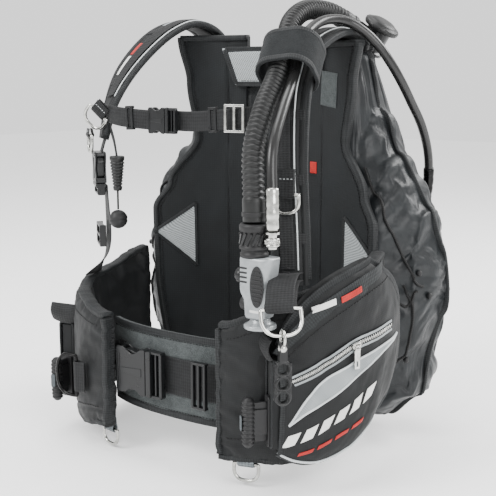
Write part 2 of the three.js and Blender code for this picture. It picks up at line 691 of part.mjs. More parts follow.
// Each ring: the middle of its bar, the bar's direction, the direction away from its bow, its
// inner width and its inner depth.
const RINGS = {
  ring_shoulder_right: { at: [-158, -254, 180], along: [0.64, 0.3, -0.7], up: [1, 0, 0.6], span: 27, reach: 24 },
  ring_shoulder_low: { at: [-167, -262, 150], along: [0.8, -0.6, 0], up: [0, 0, 1], span: 27, reach: 24 },
  ring_shoulder_left: { at: [155, -266, 92], along: [0.9, 0.4, 0], up: [0, 0, 1], span: 25, reach: 22 },
  ring_hem_right: { at: [-103, -302, -239], along: [1, -0.2, 0], up: [0, 0, 1], span: 27, reach: 22 },
  ring_hem_left: { at: [122, -300, -236], along: [1, 0.3, 0], up: [0, 0, 1], span: 27, reach: 22 },
  ring_front_right: { at: [-142, -324, -168], along: [0, 0, 1], up: [1, 0.1, 0], span: 52, reach: 34 },
  ring_front_left: { at: [198, -340, -24], along: [0.63, 0.77, 0], up: [-0.3, 0.25, 1], span: 42, reach: 30 },
};

function buildRings() {
  for (const [name, { at, along, up, span, reach }] of Object.entries(RINGS)) {
    add(name, ringGeometry(span, reach), STEEL, frameAt(at, along, up));
  }
}

/** The clip that hangs from the left front ring: a post, and a plate with three hose eyes. */
function buildRetainerClip() {
  const { at, along, post: postSize, plate: plateSize, eye, rim, eyes: heights } = RETAINER;
  const group = frameAt(at, along, [0, 0, 1]);
  const post = box(postSize, [0, -postSize[1] / 2, 0]);
  const plate = box(plateSize, [0, RETAINER.overlap - postSize[1] - plateSize[1] / 2, 0]);
  const eyes = heights.map((y) => rod(eye, plateSize[2] * 3, 'z', [0, y, 0], 14));
  const rims = heights.map((y) => rod(rim, plateSize[2], 'z', [0, y, 0], 16));
  add('retainer_clip', cut(join(post, plate, ...rims), ...eyes), STEEL, group);
}

// ---------------------------------------------------------------------------------------------
// Inflator, hoses and valves
// ---------------------------------------------------------------------------------------------

const HOSE_PATH = [
  [147, -318, 66], [145, -317, 100], [137, -306, 145], [128, -274, 190], [118, -234, 226],
  [111, -213, 249], [104, -192, 272], [94, -165, 295], [87, -125, 311], [86, -88, 314],
  [90, -60, 311], [99, -38.7, 301], [107, -28, 291],
];
const LP_PATH = [
  [173, -320, 58], [172, -319, 90], [164, -308, 145], [152, -270, 190], [139, -228, 227],
  [132, -207, 250], [125, -186, 273], [122, -154, 291], [125, -124, 299], [135, -98, 297.5],
  [150, -80, 285], [164, -66, 267], [173, -50, 246], [178, -27, 221], [179, 2, 193],
  [180, 34, 160], [179, 58, 122], [176, 69, 84], [172, 70, 50],
];

function buildHoses() {
  const hose = tube(curveThrough(HOSE_PATH), HOSE.radius, 46, 12);
  add('corrugated_hose', hose, RUBBER);
  add('lp_hose', tube(curveThrough(LP_PATH), LP_HOSE.radius, 44, 8), RUBBER);
  const [x, y, z] = LP_PATH[0];
  const { stem, flange, bottom, collarTop, collarBottom } = CONNECTOR;
  const group = frameAt([x, y, z]);
  add('lp_connector', turned([
    [0, -GAP - 1], [flange, -GAP - 1], [flange, -4], [stem, -4], [stem, bottom], [0, bottom],
  ], 16), STEEL, group);
  add('lp_collar', turned([
    [stem + GAP, collarTop], [flange, collarTop], [flange, collarBottom], [stem + GAP, collarBottom],
  ], 16), STEEL, group);
  const [endX, endY, endZ] = LP_PATH.at(-1);
  const nut = rod(LP_HOSE.radius + 2, 12, 'z', [0, 0, -7 - GAP], 6);
  const thread = rod(LP_HOSE.radius - 1, 10, 'z', [0, 0, -17], 14);
  add('lp_fitting', join(nut, thread), STEEL, frameAt([endX, endY, endZ]));
}

function buildHoseBand() {
  const { width, depth, height, thickness, corner, at, across, away } = HOSE_BAND;
  const outer = roundedShape(width, depth, corner);
  outer.holes.push(roundedShape(width - 2 * thickness, depth - 2 * thickness, corner - thickness));
  const band = sheet(outer, height, 4).translate(0, 0, -height / 2);
  add('hose_band', band, VELCRO, frameAt(at, across, away));
}

function buildInflator() {
  const { x, y, top, bottom, width, depth } = INFLATOR;
  const height = top - bottom;
  const group = frameAt([x, y, bottom]);
  const outline = new THREE.Shape();
  outline.moveTo(-width / 2 + 8, 0);
  outline.lineTo(width / 2 - 10, 0);
  outline.quadraticCurveTo(width / 2 - 6, height * 0.5, width / 2, height);
  outline.lineTo(-width / 2, height);
  outline.lineTo(-width / 2, height * 0.42);
  outline.quadraticCurveTo(-width / 2 + 6, height * 0.3, -width / 2 + 8, 0);
  const blank = sheet(outline, depth, 6).rotateX(Math.PI / 2).translate(0, depth / 2, 0);
  const bores = Object.values(BUTTON_SEATS).map(({ share, inset }) => rod(
    BUTTON.radius + BUTTON.clearance, BUTTON.boreDepth * 2, 'x', [-width / 2 + inset, 0, height * share],
  ));
  const cuff = turned([
    [0, height], [CUFF.radius - 2, height], [CUFF.radius - 2, height + 6],
    [CUFF.radius, height + 8], [CUFF.radius, height + CUFF.height - 4],
    [CUFF.radius - 2, height + CUFF.height], [0, height + CUFF.height],
  ], 16).translate(CUFF.offset, 0, 0);
  add('inflator_body', cut(join(blank, cuff), ...bores), GREY_PLASTIC, group);
  for (const [name, { share, inset }] of Object.entries(BUTTON_SEATS)) {
    const middle = -width / 2 + inset + BUTTON.proud - BUTTON.length / 2;
    const button = rod(BUTTON.radius, BUTTON.length, 'x', [middle, 0, height * share]);
    add(`${name}_button`, button, GREY_PLASTIC, group);
  }
  const flare = turned([
    [0, -GAP], [width / 4, -GAP], [width / 4 + 2, -6], [MOUTHPIECE.radius, -8],
    [MOUTHPIECE.radius, -8 - MOUTHPIECE.height], [0, -8 - MOUTHPIECE.height],
  ], 20);
  add('mouthpiece', flare, BLACK_PLASTIC, group);
}

function buildElbow() {
  const { radius, below, above, inlet, capRadius, capHeight } = ELBOW;
  const group = frameAt(ELBOW_AT, [0.82, 0, -0.57], [0, 1, 0]);
  const body = turned([
    [0, -below], [radius + 4, -below], [radius + 4, 4 - below], [radius, 6 - below],
    [radius, above], [0, above],
  ], 20);
  const hoseEnd = group.worldToLocal(new THREE.Vector3(...HOSE_PATH.at(-1)));
  const reach = hoseEnd.length() - 1 - GAP;
  const toHose = new THREE.Quaternion().setFromUnitVectors(
    new THREE.Vector3(0, 0, 1), hoseEnd.clone().normalize(),
  );
  const stub = rod(inlet, reach, 'z', [0, 0, reach / 2], 18).applyQuaternion(toHose);
  add('shoulder_elbow', join(body, stub), BLACK_PLASTIC, group);
  const capBase = above + GAP;
  const cap = turned([
    [0, capBase], [capRadius - 6, capBase], [capRadius, capBase + 4],
    [capRadius, capBase + 8], [capRadius - 5, capBase + capHeight], [0, capBase + capHeight],
  ], 20);
  add('valve_cap', cap, RUBBER, group);
}

function buildDumpPull() {
  const { at, top, bottom, height, bore, hang } = CONE;
  const group = frameAt(at);
  const sleeve = turned([[bottom, 0], [top, height], [bore, height], [bore, 0]], 14);
  add('dump_sleeve', sleeve, RUBBER, group);
  const cord = rod(CORD.radius, height + hang - 2 * GAP, 'z', [0, 0, (height - hang) / 2], 8);
  add('dump_cord', cord, WEBBING_BLACK, group);
  const ball = new THREE.SphereGeometry(BALL.radius, 16, 10).translate(0, 0, -hang - BALL.radius);
  add('dump_ball', ball, BLACK_PLASTIC, group);
}

buildPlate();
buildTankBand();
buildCarryHandle();
buildBackPad();
for (const key of Object.keys(SIDES)) {
  buildSidePanel(key);
  buildLobe(key);
  buildWeightPocket(key);
}
buildBladder();
buildCargoPocket();
buildZipPull();
buildShoulderStraps();
buildShoulderBuckle();
buildSternumStrap();
buildCummerbund();
buildRings();
buildRetainerClip();
buildHoses();
buildHoseBand();
buildInflator();
buildElbow();
buildDumpPull();

export default vest;
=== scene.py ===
"""A diver's buoyancy vest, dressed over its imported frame.

+X is the wearer's left, -Y is in front of the chest and +Z is up. The sizes in the classes are in
millimetres, and each mesh is scaled to metres as it is made.
"""

from __future__ import annotations

import logging
import math
from collections.abc import Callable, Sequence
from dataclasses import dataclass, field
from enum import Enum

import bmesh
import bpy
import numpy as np
from mathutils import Matrix, Vector
from mathutils.bvhtree import BVHTree


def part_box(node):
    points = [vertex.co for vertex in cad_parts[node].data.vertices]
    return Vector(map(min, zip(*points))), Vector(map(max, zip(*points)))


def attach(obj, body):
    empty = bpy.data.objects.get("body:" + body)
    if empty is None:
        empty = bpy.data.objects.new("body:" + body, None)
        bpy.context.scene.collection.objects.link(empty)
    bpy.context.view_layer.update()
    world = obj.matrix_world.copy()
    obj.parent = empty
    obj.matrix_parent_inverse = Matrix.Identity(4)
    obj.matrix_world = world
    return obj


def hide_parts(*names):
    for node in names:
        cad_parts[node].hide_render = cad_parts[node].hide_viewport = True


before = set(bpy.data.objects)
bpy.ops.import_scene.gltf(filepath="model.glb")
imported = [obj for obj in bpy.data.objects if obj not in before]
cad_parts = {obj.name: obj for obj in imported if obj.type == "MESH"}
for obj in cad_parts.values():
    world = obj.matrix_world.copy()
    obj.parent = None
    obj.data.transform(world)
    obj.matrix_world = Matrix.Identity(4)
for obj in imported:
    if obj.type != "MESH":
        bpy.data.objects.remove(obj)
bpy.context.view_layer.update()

LOG = logging.getLogger("vest")
MM = 0.001
SIDES = {"left": 1, "right": -1}  # the wearer's own left and right, and the sign of X there
Array = np.ndarray
Points = Sequence[Sequence[float]]
Mesh = bpy.types.Object

# ----------------------------------------------------------------------------------------------
# The vest's shared shapes
# ----------------------------------------------------------------------------------------------


@dataclass(frozen=True)
class Oval:
    """The oval that the vest wraps round the waist, in millimetres."""

    half_width: float = 222
    half_depth: float = 158
    centre_y: float = -172
    squareness: float = 2.4

    def at(
        self, degrees: Array | float, height: Array | float, out: Array | float = 0, side: int = 1
    ) -> Array:
        """Points on the oval: each of the sine and cosine is raised to 2 / squareness.

        Args:
            degrees: The way round, 0 behind, 90 at the side and 180 in front.
            height: The height of each point.
            out: How far outside the oval each point stands.
            side: 1 for the wearer's left, -1 for the right.

        Returns:
            The points, with X, Y and Z along the last axis.
        """
        angle = np.radians(degrees)
        power = 2 / self.squareness
        sine, cosine = np.sin(angle), np.cos(angle)
        x = side * (self.half_width + out) * np.sign(sine) * np.abs(sine) ** power
        y = self.centre_y + (self.half_depth + out) * np.sign(cosine) * np.abs(cosine) ** power
        return np.stack(np.broadcast_arrays(x, y, height), axis=-1)


WAIST_OVAL = Oval()
PAD_FRONT = -58.0
PANEL_CURL = 0.0016


def panel_face(x: Array | float) -> Array | float:
    """The front face of the side panels: it curls forward with the square of x."""
    return PAD_FRONT - PANEL_CURL * np.square(x)


def eased(table: Points, place: Array | float) -> Array:
    """Values along a table of (place, value), joined by smooth steps of 3 s squared - 2 s cubed."""
    at, values = np.asarray(table, float).T
    place = np.asarray(place, float)
    low = np.clip(np.searchsorted(at, place) - 1, 0, len(at) - 2)
    share = np.clip((place - at[low]) / (at[low + 1] - at[low]), 0, 1)
    return values[low] + (values[low + 1] - values[low]) * share * share * (3 - 2 * share)


def fullness(share: Array, seam: float = 0.45) -> Array:
    """How full a soft piece is across its width: the root of 1 - (2 share - 1) to the fourth."""
    return seam + (1 - seam) * np.sqrt(np.maximum(0, 1 - (2 * share - 1) ** 4))


def crowded(count: int) -> Array:
    """Shares from 0 to 1 that crowd towards both ends, as half a cosine does."""
    return 0.5 - 0.5 * np.cos(np.linspace(0, math.pi, count))


def run_along(path: Array) -> Array:
    """The distance along a path at each of its points, from 0 at the first."""
    return np.concatenate([[0], np.cumsum(np.linalg.norm(np.diff(path, axis=0), axis=1))])


def read_at(places: Array | float, run: Array, table: Array) -> Array:
    """A table's rows read at other places along its run, by straight interpolation."""
    return np.stack([np.interp(places, run, column) for column in table.T], axis=-1)


def through(points: Points, count: int, even: bool = True) -> Array:
    """Points on a smooth curve: cubics whose tangents weigh each span by the root of its length.

    Args:
        points: The places that the curve goes through, of any number of coordinates.
        count: How many points to return.
        even: True spaces them along the curve, False gives each span the same number.

    Returns:
        The points, one a row.
    """
    p = np.asarray(points, float)
    p = np.vstack([2 * p[0] - p[1], p, 2 * p[-1] - p[-2]])
    gap = np.sqrt(np.linalg.norm(np.diff(p[:, :3], axis=0), axis=1))[:, None] + 1e-9
    a, b, c, d = p[:-3], p[1:-2], p[2:-1], p[3:]
    before, here, after = gap[:-2], gap[1:-1], gap[2:]
    start = ((b - a) / before - (c - a) / (before + here) + (c - b) / here) * here
    stop = ((c - b) / here - (d - b) / (here + after) + (d - c) / after) * here
    place = np.linspace(0, len(b), 48 * len(b) + 1 if even else count)
    span = np.minimum(place.astype(int), len(b) - 1)
    s = (place - span)[:, None]
    curve = (
        b[span]
        + start[span] * s
        + (3 * (c - b) - 2 * start - stop)[span] * s**2
        + (2 * (b - c) + start + stop)[span] * s**3
    )
    if not even:
        return curve
    run = run_along(curve[:, :3])
    wanted = np.linspace(0, run[-1], count)
    return read_at(wanted, run, curve)


def length_of(path: Array) -> float:
    """The length of a path of points."""
    return float(np.linalg.norm(np.diff(path, axis=0), axis=1).sum())


def unit(vectors: Array) -> Array:
    """The same directions with a length of one."""
    vectors = np.asarray(vectors, float)
    return vectors / (np.linalg.norm(vectors, axis=-1, keepdims=True) + 1e-12)


# ----------------------------------------------------------------------------------------------
# Mesh building
# ----------------------------------------------------------------------------------------------


def grid_faces(rows: int, columns: int, wrap: bool = False) -> Array:
    """The quads of a grid of rows by columns of vertices, joined round its columns if it wraps."""
    index = np.arange(rows * columns).reshape(rows, columns)
    right = np.roll(index, -1, axis=1) if wrap else index[:, 1:]
    left = index if wrap else index[:, :-1]
    quads = np.stack([left[:-1], right[:-1], right[1:], left[1:]], axis=-1)
    return quads.reshape(-1, 4)


def new_mesh(
    name: str, points: Array, faces: list, uv: Array | None = None, smooth: bool = True
) -> Mesh:
    """An object whose mesh holds the points, in millimetres, and the faces.

    Args:
        name: The piece's name.
        points: The vertices, one a row.
        faces: Each face's vertex numbers.
        uv: The place of each vertex on the cloth, in millimetres, kept in metres.
        smooth: Whether the faces are shaded smooth.

    Returns:
        The new object, at the origin.
    """
    mesh = bpy.data.meshes.new(name)
    mesh.from_pydata((np.asarray(points, float) * MM).tolist(), [], faces)
    if uv is not None:
        corner = np.zeros(len(mesh.loops), np.int32)
        mesh.loops.foreach_get("vertex_index", corner)
        layer = mesh.uv_layers.new(name="cloth")
        layer.data.foreach_set("uv", (np.asarray(uv, np.float32)[corner] * MM).ravel())
    mesh.polygons.foreach_set("use_smooth", np.full(len(mesh.polygons), smooth))
    mesh.validate()
    obj = bpy.data.objects.new(name, mesh)
    bpy.context.scene.collection.objects.link(obj)
    return obj


def turn_outwards(obj: Mesh, merge: float = 1e-6) -> Mesh:
    """Merges doubled vertices and turns every face of a closed mesh outwards."""
    edit = bmesh.new()
    edit.from_mesh(obj.data)
    bmesh.ops.remove_doubles(edit, verts=edit.verts, dist=merge)
    bmesh.ops.recalc_face_normals(edit, faces=edit.faces)
    edit.to_mesh(obj.data)
    edit.free()
    return obj


def pillow(name: str, place: Callable[[Array, Array, int], Array], across: int, along: int) -> Mesh:
    """A closed soft piece from two grids, its front and rear, joined round their edges.

    Args:
        name: The piece's name.
        place: Sends shares across and along, and 1 for the front or 0 for the rear, to points.
        across: The number of grid points across.
        along: The number of grid points along.

    Returns:
        The piece, with a cloth map whose units are the cloth's own length.
    """
    u, v = np.meshgrid(crowded(across), crowded(along), indexing="ij")
    front, rear = place(u, v, 1), place(u, v, 0)
    size = across * along
    index = np.arange(size).reshape(across, along)
    rim = np.concatenate([index[:-1, 0], index[-1, :-1], index[:0:-1, -1], index[0, :0:-1]])
    quads = grid_faces(across, along)
    walls = np.stack([rim, rim + size, np.roll(rim, -1) + size, np.roll(rim, -1)], axis=1)
    run_u = np.concatenate(
        [np.zeros((1, along)), np.cumsum(np.linalg.norm(np.diff(front, axis=0), axis=2), 0)]
    )
    run_v = np.concatenate(
        [np.zeros((across, 1)), np.cumsum(np.linalg.norm(np.diff(front, axis=1), axis=2), 1)], 1
    )
    flat = np.stack([run_u, run_v], axis=-1).reshape(-1, 2)
    faces = np.vstack([quads, quads[:, ::-1] + size, walls])
    points = np.vstack([front.reshape(-1, 3), rear.reshape(-1, 3)])
    return turn_outwards(new_mesh(name, points, faces.tolist(), np.vstack([flat, flat])), 1e-7)


def sweep(
    name: str, path: Array, side: Array, lift: Array, profile: Array, loop: bool = False
) -> Mesh:
    """A closed profile carried along a path: each point is centre + side x + lift y.

    Args:
        name: The piece's name.
        path: The centre of each station.
        side: The vector that the profile's x runs along, at each station.
        lift: The vector that the profile's y runs along, at each station.
        profile: The section's (x, y) points.
        loop: Whether the last station joins the first.

    Returns:
        The piece, with a cloth map of the way round and the way along.
    """
    stations, edge = len(path), len(profile)
    x, y = profile[None, :, 0, None], profile[None, :, 1, None]
    points = path[:, None] + side[:, None] * x + lift[:, None] * y
    around = run_along(points[0])
    run = run_along(path)
    cloth = np.stack(np.meshgrid(around, run), axis=-1).reshape(-1, 2)
    faces = grid_faces(stations, edge, wrap=True).tolist()
    if loop:
        last = (stations - 1) * edge
        ring = np.arange(edge)
        faces += np.stack(
            [ring + last, np.roll(ring, -1) + last, np.roll(ring, -1), ring], axis=1
        ).tolist()
    else:
        faces += [list(range(edge))[::-1], list(range((stations - 1) * edge, stations * edge))]
    return turn_outwards(new_mesh(name, points.reshape(-1, 3), faces, cloth))


def transported(path: Array) -> tuple[Array, Array]:
    """Two directions square to a path that turn with it and never twist about it."""
    tangent = unit(np.gradient(path, axis=0))
    first = np.cross(tangent[0], [0.31, 0.42, 0.85])
    sides = np.zeros_like(path)
    sides[0] = unit(first)
    for station in range(1, len(path)):
        kept = sides[station - 1] - tangent[station] * (sides[station - 1] @ tangent[station])
        sides[station] = unit(kept)
    return sides, np.cross(tangent, sides)


def circle(sides: int) -> Array:
    """A circle of unit radius as (x, y) points."""
    angle = np.arange(sides) / sides * 2 * math.pi
    return np.stack([np.cos(angle), np.sin(angle)], axis=1)


def spokes(count: int) -> Array:
    """Level directions of unit length, spaced evenly round Z."""
    return np.column_stack([circle(count), np.zeros(count)])


def oblong(left: float, right: float, low: float, high: float) -> list[list[float]]:
    """The four corners of a rectangle in X and Y."""
    return [[left, low], [right, low], [right, high], [left, high]]


def tube(
    name: str, path: Array, radius: float | Array, sides: int = 12, loop: bool = False
) -> Mesh:
    """A round tube along a path, whose radius is one number or one for each station."""
    side, lift = transported(path)
    if loop:
        middle = path.mean(axis=0)
        tangent = unit(np.roll(path, -1, axis=0) - np.roll(path, 1, axis=0))
        lift = unit(np.cross(tangent, path - middle))
        side = np.cross(lift, tangent)
    radius = np.broadcast_to(np.asarray(radius, float), len(path))[:, None]
    return sweep(name, path, side * radius, lift * radius, circle(sides), loop)


def strap_profile(crown: float = 1.0, points: int = 7) -> Array:
    """A flat strap's section, half a unit thick at its middle, with rounded edges."""
    x = np.cos(np.linspace(0, math.pi, points))
    y = 0.5 * np.maximum(0, 1 - x**8) ** 0.5 * (crown + (1 - crown) * np.sqrt(1 - x**4))
    return np.vstack([np.stack([x, y], 1), np.stack([x[::-1], -y[::-1]], 1)[1:-1]])


def ribbon(
    name: str, path: Array, half: Array, thickness: float, profile: Array | None = None
) -> Mesh:
    """A strap along a path. Its face is square to both the path and the half-width vectors."""
    tangent = unit(np.gradient(path, axis=0))
    normal = unit(np.cross(tangent, half))
    shape = strap_profile(points=13) if profile is None else profile
    return sweep(name, path, np.asarray(half, float), normal * thickness, shape)


def lathe(
    name: str, outline: Points, origin: Sequence[float], axis: Sequence[float], sides: int = 40
) -> Mesh:
    """A turned piece: its (radius, height) outline is swept round an axis through the origin."""
    radius, height = np.asarray(outline, float).T
    up = unit(axis)
    side = unit(np.cross(up, [0.21, 0.34, 0.91] if abs(up[2]) < 0.9 else [1, 0, 0]))
    other = np.cross(up, side)
    ring = circle(sides)
    around = ring[:, :1] * side + ring[:, 1:] * other
    points = np.asarray(origin, float) + radius[:, None, None] * around + height[:, None, None] * up
    faces = grid_faces(len(radius), sides, wrap=True).tolist()
    faces += [list(range(sides))[::-1], list(range((len(radius) - 1) * sides, len(radius) * sides))]
    return turn_outwards(new_mesh(name, points.reshape(-1, 3), faces), 1e-6)


def rounded_outline(width: float, height: float, corner: float, steps: int = 6) -> Array:
    """A rectangle about the origin whose corners are quarter circles."""
    turn = np.linspace(0, math.pi / 2, steps)
    arc = corner * np.stack([np.cos(turn), np.sin(turn)], axis=1)
    middle = np.array([width / 2 - corner, height / 2 - corner])
    quarter = [
        arc + middle,
        arc[::-1] * [-1, 1] + middle * [-1, 1],
        -arc - middle,
        arc[::-1] * [1, -1] + middle * [1, -1],
    ]
    return np.vstack(quarter)


@dataclass(frozen=True)
class Place:
    """A place and its own directions: X along, Y up the piece, and Z out of its face."""

    origin: tuple[float, float, float]
    x: tuple[float, float, float] = (1, 0, 0)
    y: tuple[float, float, float] = (0, 0, 1)

    def axes(self) -> Array:
        """The three unit directions, one a row, with Y and Z squared up to X."""
        x = unit(self.x)
        z = unit(np.cross(x, self.y))
        return np.stack([x, np.cross(z, x), z])

    def put(self, points: Points) -> Array:
        """Points in this place's own directions, sent to the vest's."""
        return np.asarray(self.origin, float) + np.asarray(points, float) @ self.axes()

    def moved(self, x: float = 0, y: float = 0, z: float = 0) -> Place:
        """The same directions at another point, given in this place's own directions."""
        return Place(tuple(self.put([x, y, z])), self.x, self.y)


def slab(
    name: str, outline: Points, thickness: float, place: Place, bevel: float = 0.6, base: float = 0
) -> Mesh:
    """A flat moulded piece: an outline in X and Y, from base up by its thickness, edges rounded.

    Args:
        name: The piece's name.
        outline: The closed (x, y) outline.
        thickness: How far it rises along the place's Z.
        place: Where the piece stands.
        bevel: The radius of its edges.
        base: The height of its lower face.

    Returns:
        The piece, with a live bevel.
    """
    flat = np.asarray(outline, float)
    count = len(flat)
    low = np.column_stack([flat, np.full(count, base)])
    high = low + [0, 0, thickness]
    ring = np.arange(count)
    walls = np.stack([ring, np.roll(ring, -1), np.roll(ring, -1) + count, ring + count], axis=1)
    faces = [ring[::-1].tolist(), (ring + count).tolist()] + walls.tolist()
    obj = turn_outwards(new_mesh(name, place.put(np.vstack([low, high])), faces, smooth=True), 1e-6)
    return rounded(obj, bevel)


def rounded(obj: Mesh, radius: float, segments: int = 2, angle: float = 38) -> Mesh:
    """Rounds the sharp edges of a moulded piece and shades it by its face areas."""
    bevel = obj.modifiers.new("edges", "BEVEL")
    bevel.width = radius * MM
    bevel.segments = segments
    bevel.limit_method = "ANGLE"
    bevel.angle_limit = math.radians(angle)
    bevel.use_clamp_overlap = True
    bevel.harden_normals = False
    shade = obj.modifiers.new("shade", "WEIGHTED_NORMAL")
    shade.keep_sharp = True
    return obj


def joined(name: str, pieces: Sequence[Mesh]) -> Mesh:
    """One object from several, each with its modifiers made part of its mesh."""
    graph = bpy.context.evaluated_depsgraph_get()
    graph.update()
    edit = bmesh.new()
    for piece in pieces:
        shown = piece.evaluated_get(graph)
        edit.from_mesh(shown.to_mesh())
        shown.to_mesh_clear()
    mesh = bpy.data.meshes.new(name)
    edit.to_mesh(mesh)
    edit.free()
    for piece in pieces:
        bpy.data.objects.remove(piece)
    obj = bpy.data.objects.new(name, mesh)
    bpy.context.scene.collection.objects.link(obj)
    return obj


def refined(name: str, node: str, bevel: float, segments: int = 2) -> Mesh:
    """A copy of a CAD node with its doubled vertices merged and its edges rounded."""
    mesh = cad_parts[node].data.copy()
    mesh.materials.clear()
    obj = bpy.data.objects.new(name, mesh)
    bpy.context.scene.collection.objects.link(obj)
    edit = bmesh.new()
    edit.from_mesh(mesh)
    bmesh.ops.remove_doubles(edit, verts=edit.verts, dist=2e-5)
    bmesh.ops.dissolve_limit(edit, angle_limit=math.radians(2), verts=edit.verts, edges=edit.edges)
    edit.to_mesh(mesh)
    edit.free()
    mesh.polygons.foreach_set("use_smooth", np.ones(len(mesh.polygons), bool))
    return rounded(obj, bevel, segments)


BLOCK = np.array([[x, y, z] for x in (-0.5, 0.5) for y in (-0.5, 0.5) for z in (-0.5, 0.5)])
BLOCK_FACES = np.array(
    [[0, 1, 3, 2], [4, 6, 7, 5], [0, 4, 5, 1], [2, 3, 7, 6], [0, 2, 6, 4], [1, 5, 7, 3]]
)


def blocks(name: str, points: Array, x_axis: Array, y_axis: Array, height: float) -> Mesh:
    """Many copies of one block: each vertex is point + x_axis a + y_axis b + normal c.

    Args:
        name: The piece's name.
        points: The centre of each copy.
        x_axis: The vector along the copies' length, one for all or one for each.
        y_axis: The vector along their width, one for all or one for each.
        height: The copies' third size, square to the other two.

    Returns:
        One object with every copy.
    """
    x_axis = np.broadcast_to(np.asarray(x_axis, float), points.shape)
    y_axis = np.broadcast_to(np.asarray(y_axis, float), points.shape)
    z_axis = unit(np.cross(x_axis, y_axis))
    a, b, c = ((BLOCK * [1, 1, height])[None, :, k, None] for k in range(3))
    spread = points[:, None] + x_axis[:, None] * a + y_axis[:, None] * b + z_axis[:, None] * c
    faces = BLOCK_FACES[None] + (np.arange(len(points)) * len(BLOCK))[:, None, None]
    return new_mesh(name, spread.reshape(-1, 3), faces.reshape(-1, 4).tolist())


def stitches(
    name: str, path: Array, normal: Array, length: float = 3.2, gap: float = 1.4, width: float = 0.7
) -> Mesh:
    """A line of thread: a short raised block for each stitch, spaced evenly along the path."""
    total = length_of(path)
    count = max(2, int(total / (length + gap)))
    run = run_along(path)
    wanted = (np.arange(count) + 0.5) * total / count
    centre = read_at(wanted, run, path)
    ahead = read_at(wanted + 0.5, run, path)
    up = unit(read_at(wanted, run, np.broadcast_to(normal, path.shape)))
    along = unit(ahead - centre)
    side = np.cross(up, along)
    return blocks(name, centre + up * 0.2, along * length, side * width, width)


def crumple(points: Array, normal: Array, size: float, depth: float, seed: int = 1) -> Array:
    """Points pushed along their normals by a few crossed waves of unlike lengths and directions.

    Args:
        points: The points to push.
        normal: The direction each is pushed in.
        size: The longest wave's length.
        depth: The furthest that a point moves, either way.
        seed: Which set of waves.

    Returns:
        The moved points.
    """
    rng = np.random.default_rng(seed)
    total = np.zeros(points.shape[:-1])
    for octave in range(5):
        direction = unit(rng.normal(size=3))
        length = size / (1 + 0.6 * octave)
        bend = unit(rng.normal(size=3))
        phase = points @ direction / length * 2 * math.pi + 1.3 * np.sin(
            points @ bend / (size * 1.4) * 2 * math.pi
        )
        total += np.sin(phase + rng.uniform(0, 6.28)) / (1 + 0.5 * octave)
    return points + normal * (total / 2.6 * depth)[..., None]


def grid_normals(grid: Array, outward: Array | Sequence[float] | None = None) -> Array:
    """Unit normals of a grid of points, from the cross product of its two slopes."""
    normal = unit(np.cross(np.gradient(grid, axis=0), np.gradient(grid, axis=1)))
    if outward is not None:
        normal *= np.sign((normal * outward).sum(-1, keepdims=True) + 1e-9)
    return normal


def loft(name: str, rings: Array) -> Mesh:
    """A closed piece through a stack of rings, each an equal number of points, with flat ends."""
    stations, edge = rings.shape[:2]
    faces = grid_faces(stations, edge, wrap=True).tolist()
    faces += [list(range(edge))[::-1], list(range((stations - 1) * edge, stations * edge))]
    run = run_along(rings[:, 0])
    around = run_along(rings[stations // 2])
    cloth = np.stack(np.meshgrid(around, run), axis=-1).reshape(-1, 2)
    return turn_outwards(new_mesh(name, rings.reshape(-1, 3), faces, cloth))


def carve(obj: Mesh, tool: Mesh) -> Mesh:
    """Cuts the tool's solid out of the piece and removes the tool."""
    knife = obj.modifiers.new("knife", "BOOLEAN")
    knife.operation = "DIFFERENCE"
    knife.object = tool
    knife.solver = "EXACT"
    graph = bpy.context.evaluated_depsgraph_get()
    graph.update()
    cut = bpy.data.meshes.new_from_object(obj.evaluated_get(graph))
    obj.modifiers.clear()
    obj.data = cut
    bpy.data.objects.remove(tool)
    return obj


SETTLING_FRAMES = 20


def settled(
    obj: Mesh, across: int, along: int, cap: float, pressure: float = 3.0, slack: float = 0.04
) -> Mesh:
    """Lets a pillow swell and buckle as slack cloth held at its seams, by a short simulation.

    Args:
        obj: A pillow fresh from its grids.
        across: The number of its grid points across.
        along: The number of its grid points along.
        cap: The furthest that a point may move, in millimetres.
        pressure: The air pressure inside it.
        slack: How much longer than its seams the cloth is cut.

    Returns:
        The same piece, with the result in its mesh and no modifier left.
    """
    size = across * along
    index = np.arange(size).reshape(across, along)
    rim = np.concatenate([index[0], index[-1], index[:, 0], index[:, -1]])
    obj.vertex_groups.new(name="seam").add(
        np.concatenate([rim, rim + size]).tolist(), 1.0, "REPLACE"
    )
    cloth = obj.modifiers.new("cloth", "CLOTH")
    settings = cloth.settings
    settings.quality = 4
    settings.mass = 0.25
    settings.use_pressure = True
    settings.uniform_pressure_force = pressure
    settings.shrink_min = settings.shrink_max = -slack
    settings.vertex_group_mass = "seam"
    settings.effector_weights.gravity = 0
    cloth.collision_settings.use_collision = False
    cloth.point_cache.frame_start, cloth.point_cache.frame_end = 1, SETTLING_FRAMES
    count = len(obj.data.vertices)
    before, after = np.zeros(count * 3, np.float32), np.zeros(count * 3, np.float32)
    obj.data.vertices.foreach_get("co", before)
    for step in range(1, SETTLING_FRAMES + 1):
        bpy.context.scene.frame_set(step)
    obj.evaluated_get(bpy.context.evaluated_depsgraph_get()).data.vertices.foreach_get("co", after)
    obj.modifiers.remove(cloth)
    obj.vertex_groups.clear()
    bpy.context.scene.frame_set(1)
    move = (after - before).reshape(-1, 3)
    reach = np.linalg.norm(move, axis=1, keepdims=True) + 1e-12
    move *= np.minimum(1, cap * MM / reach)
    obj.data.vertices.foreach_set("co", (before.reshape(-1, 3) + move).ravel())
    obj.data.update()
    LOG.info(
        "%s settled: moved %.1f mm at most", obj.name,
        float(np.linalg.norm(move, axis=1).max() / MM),
    )
    return obj


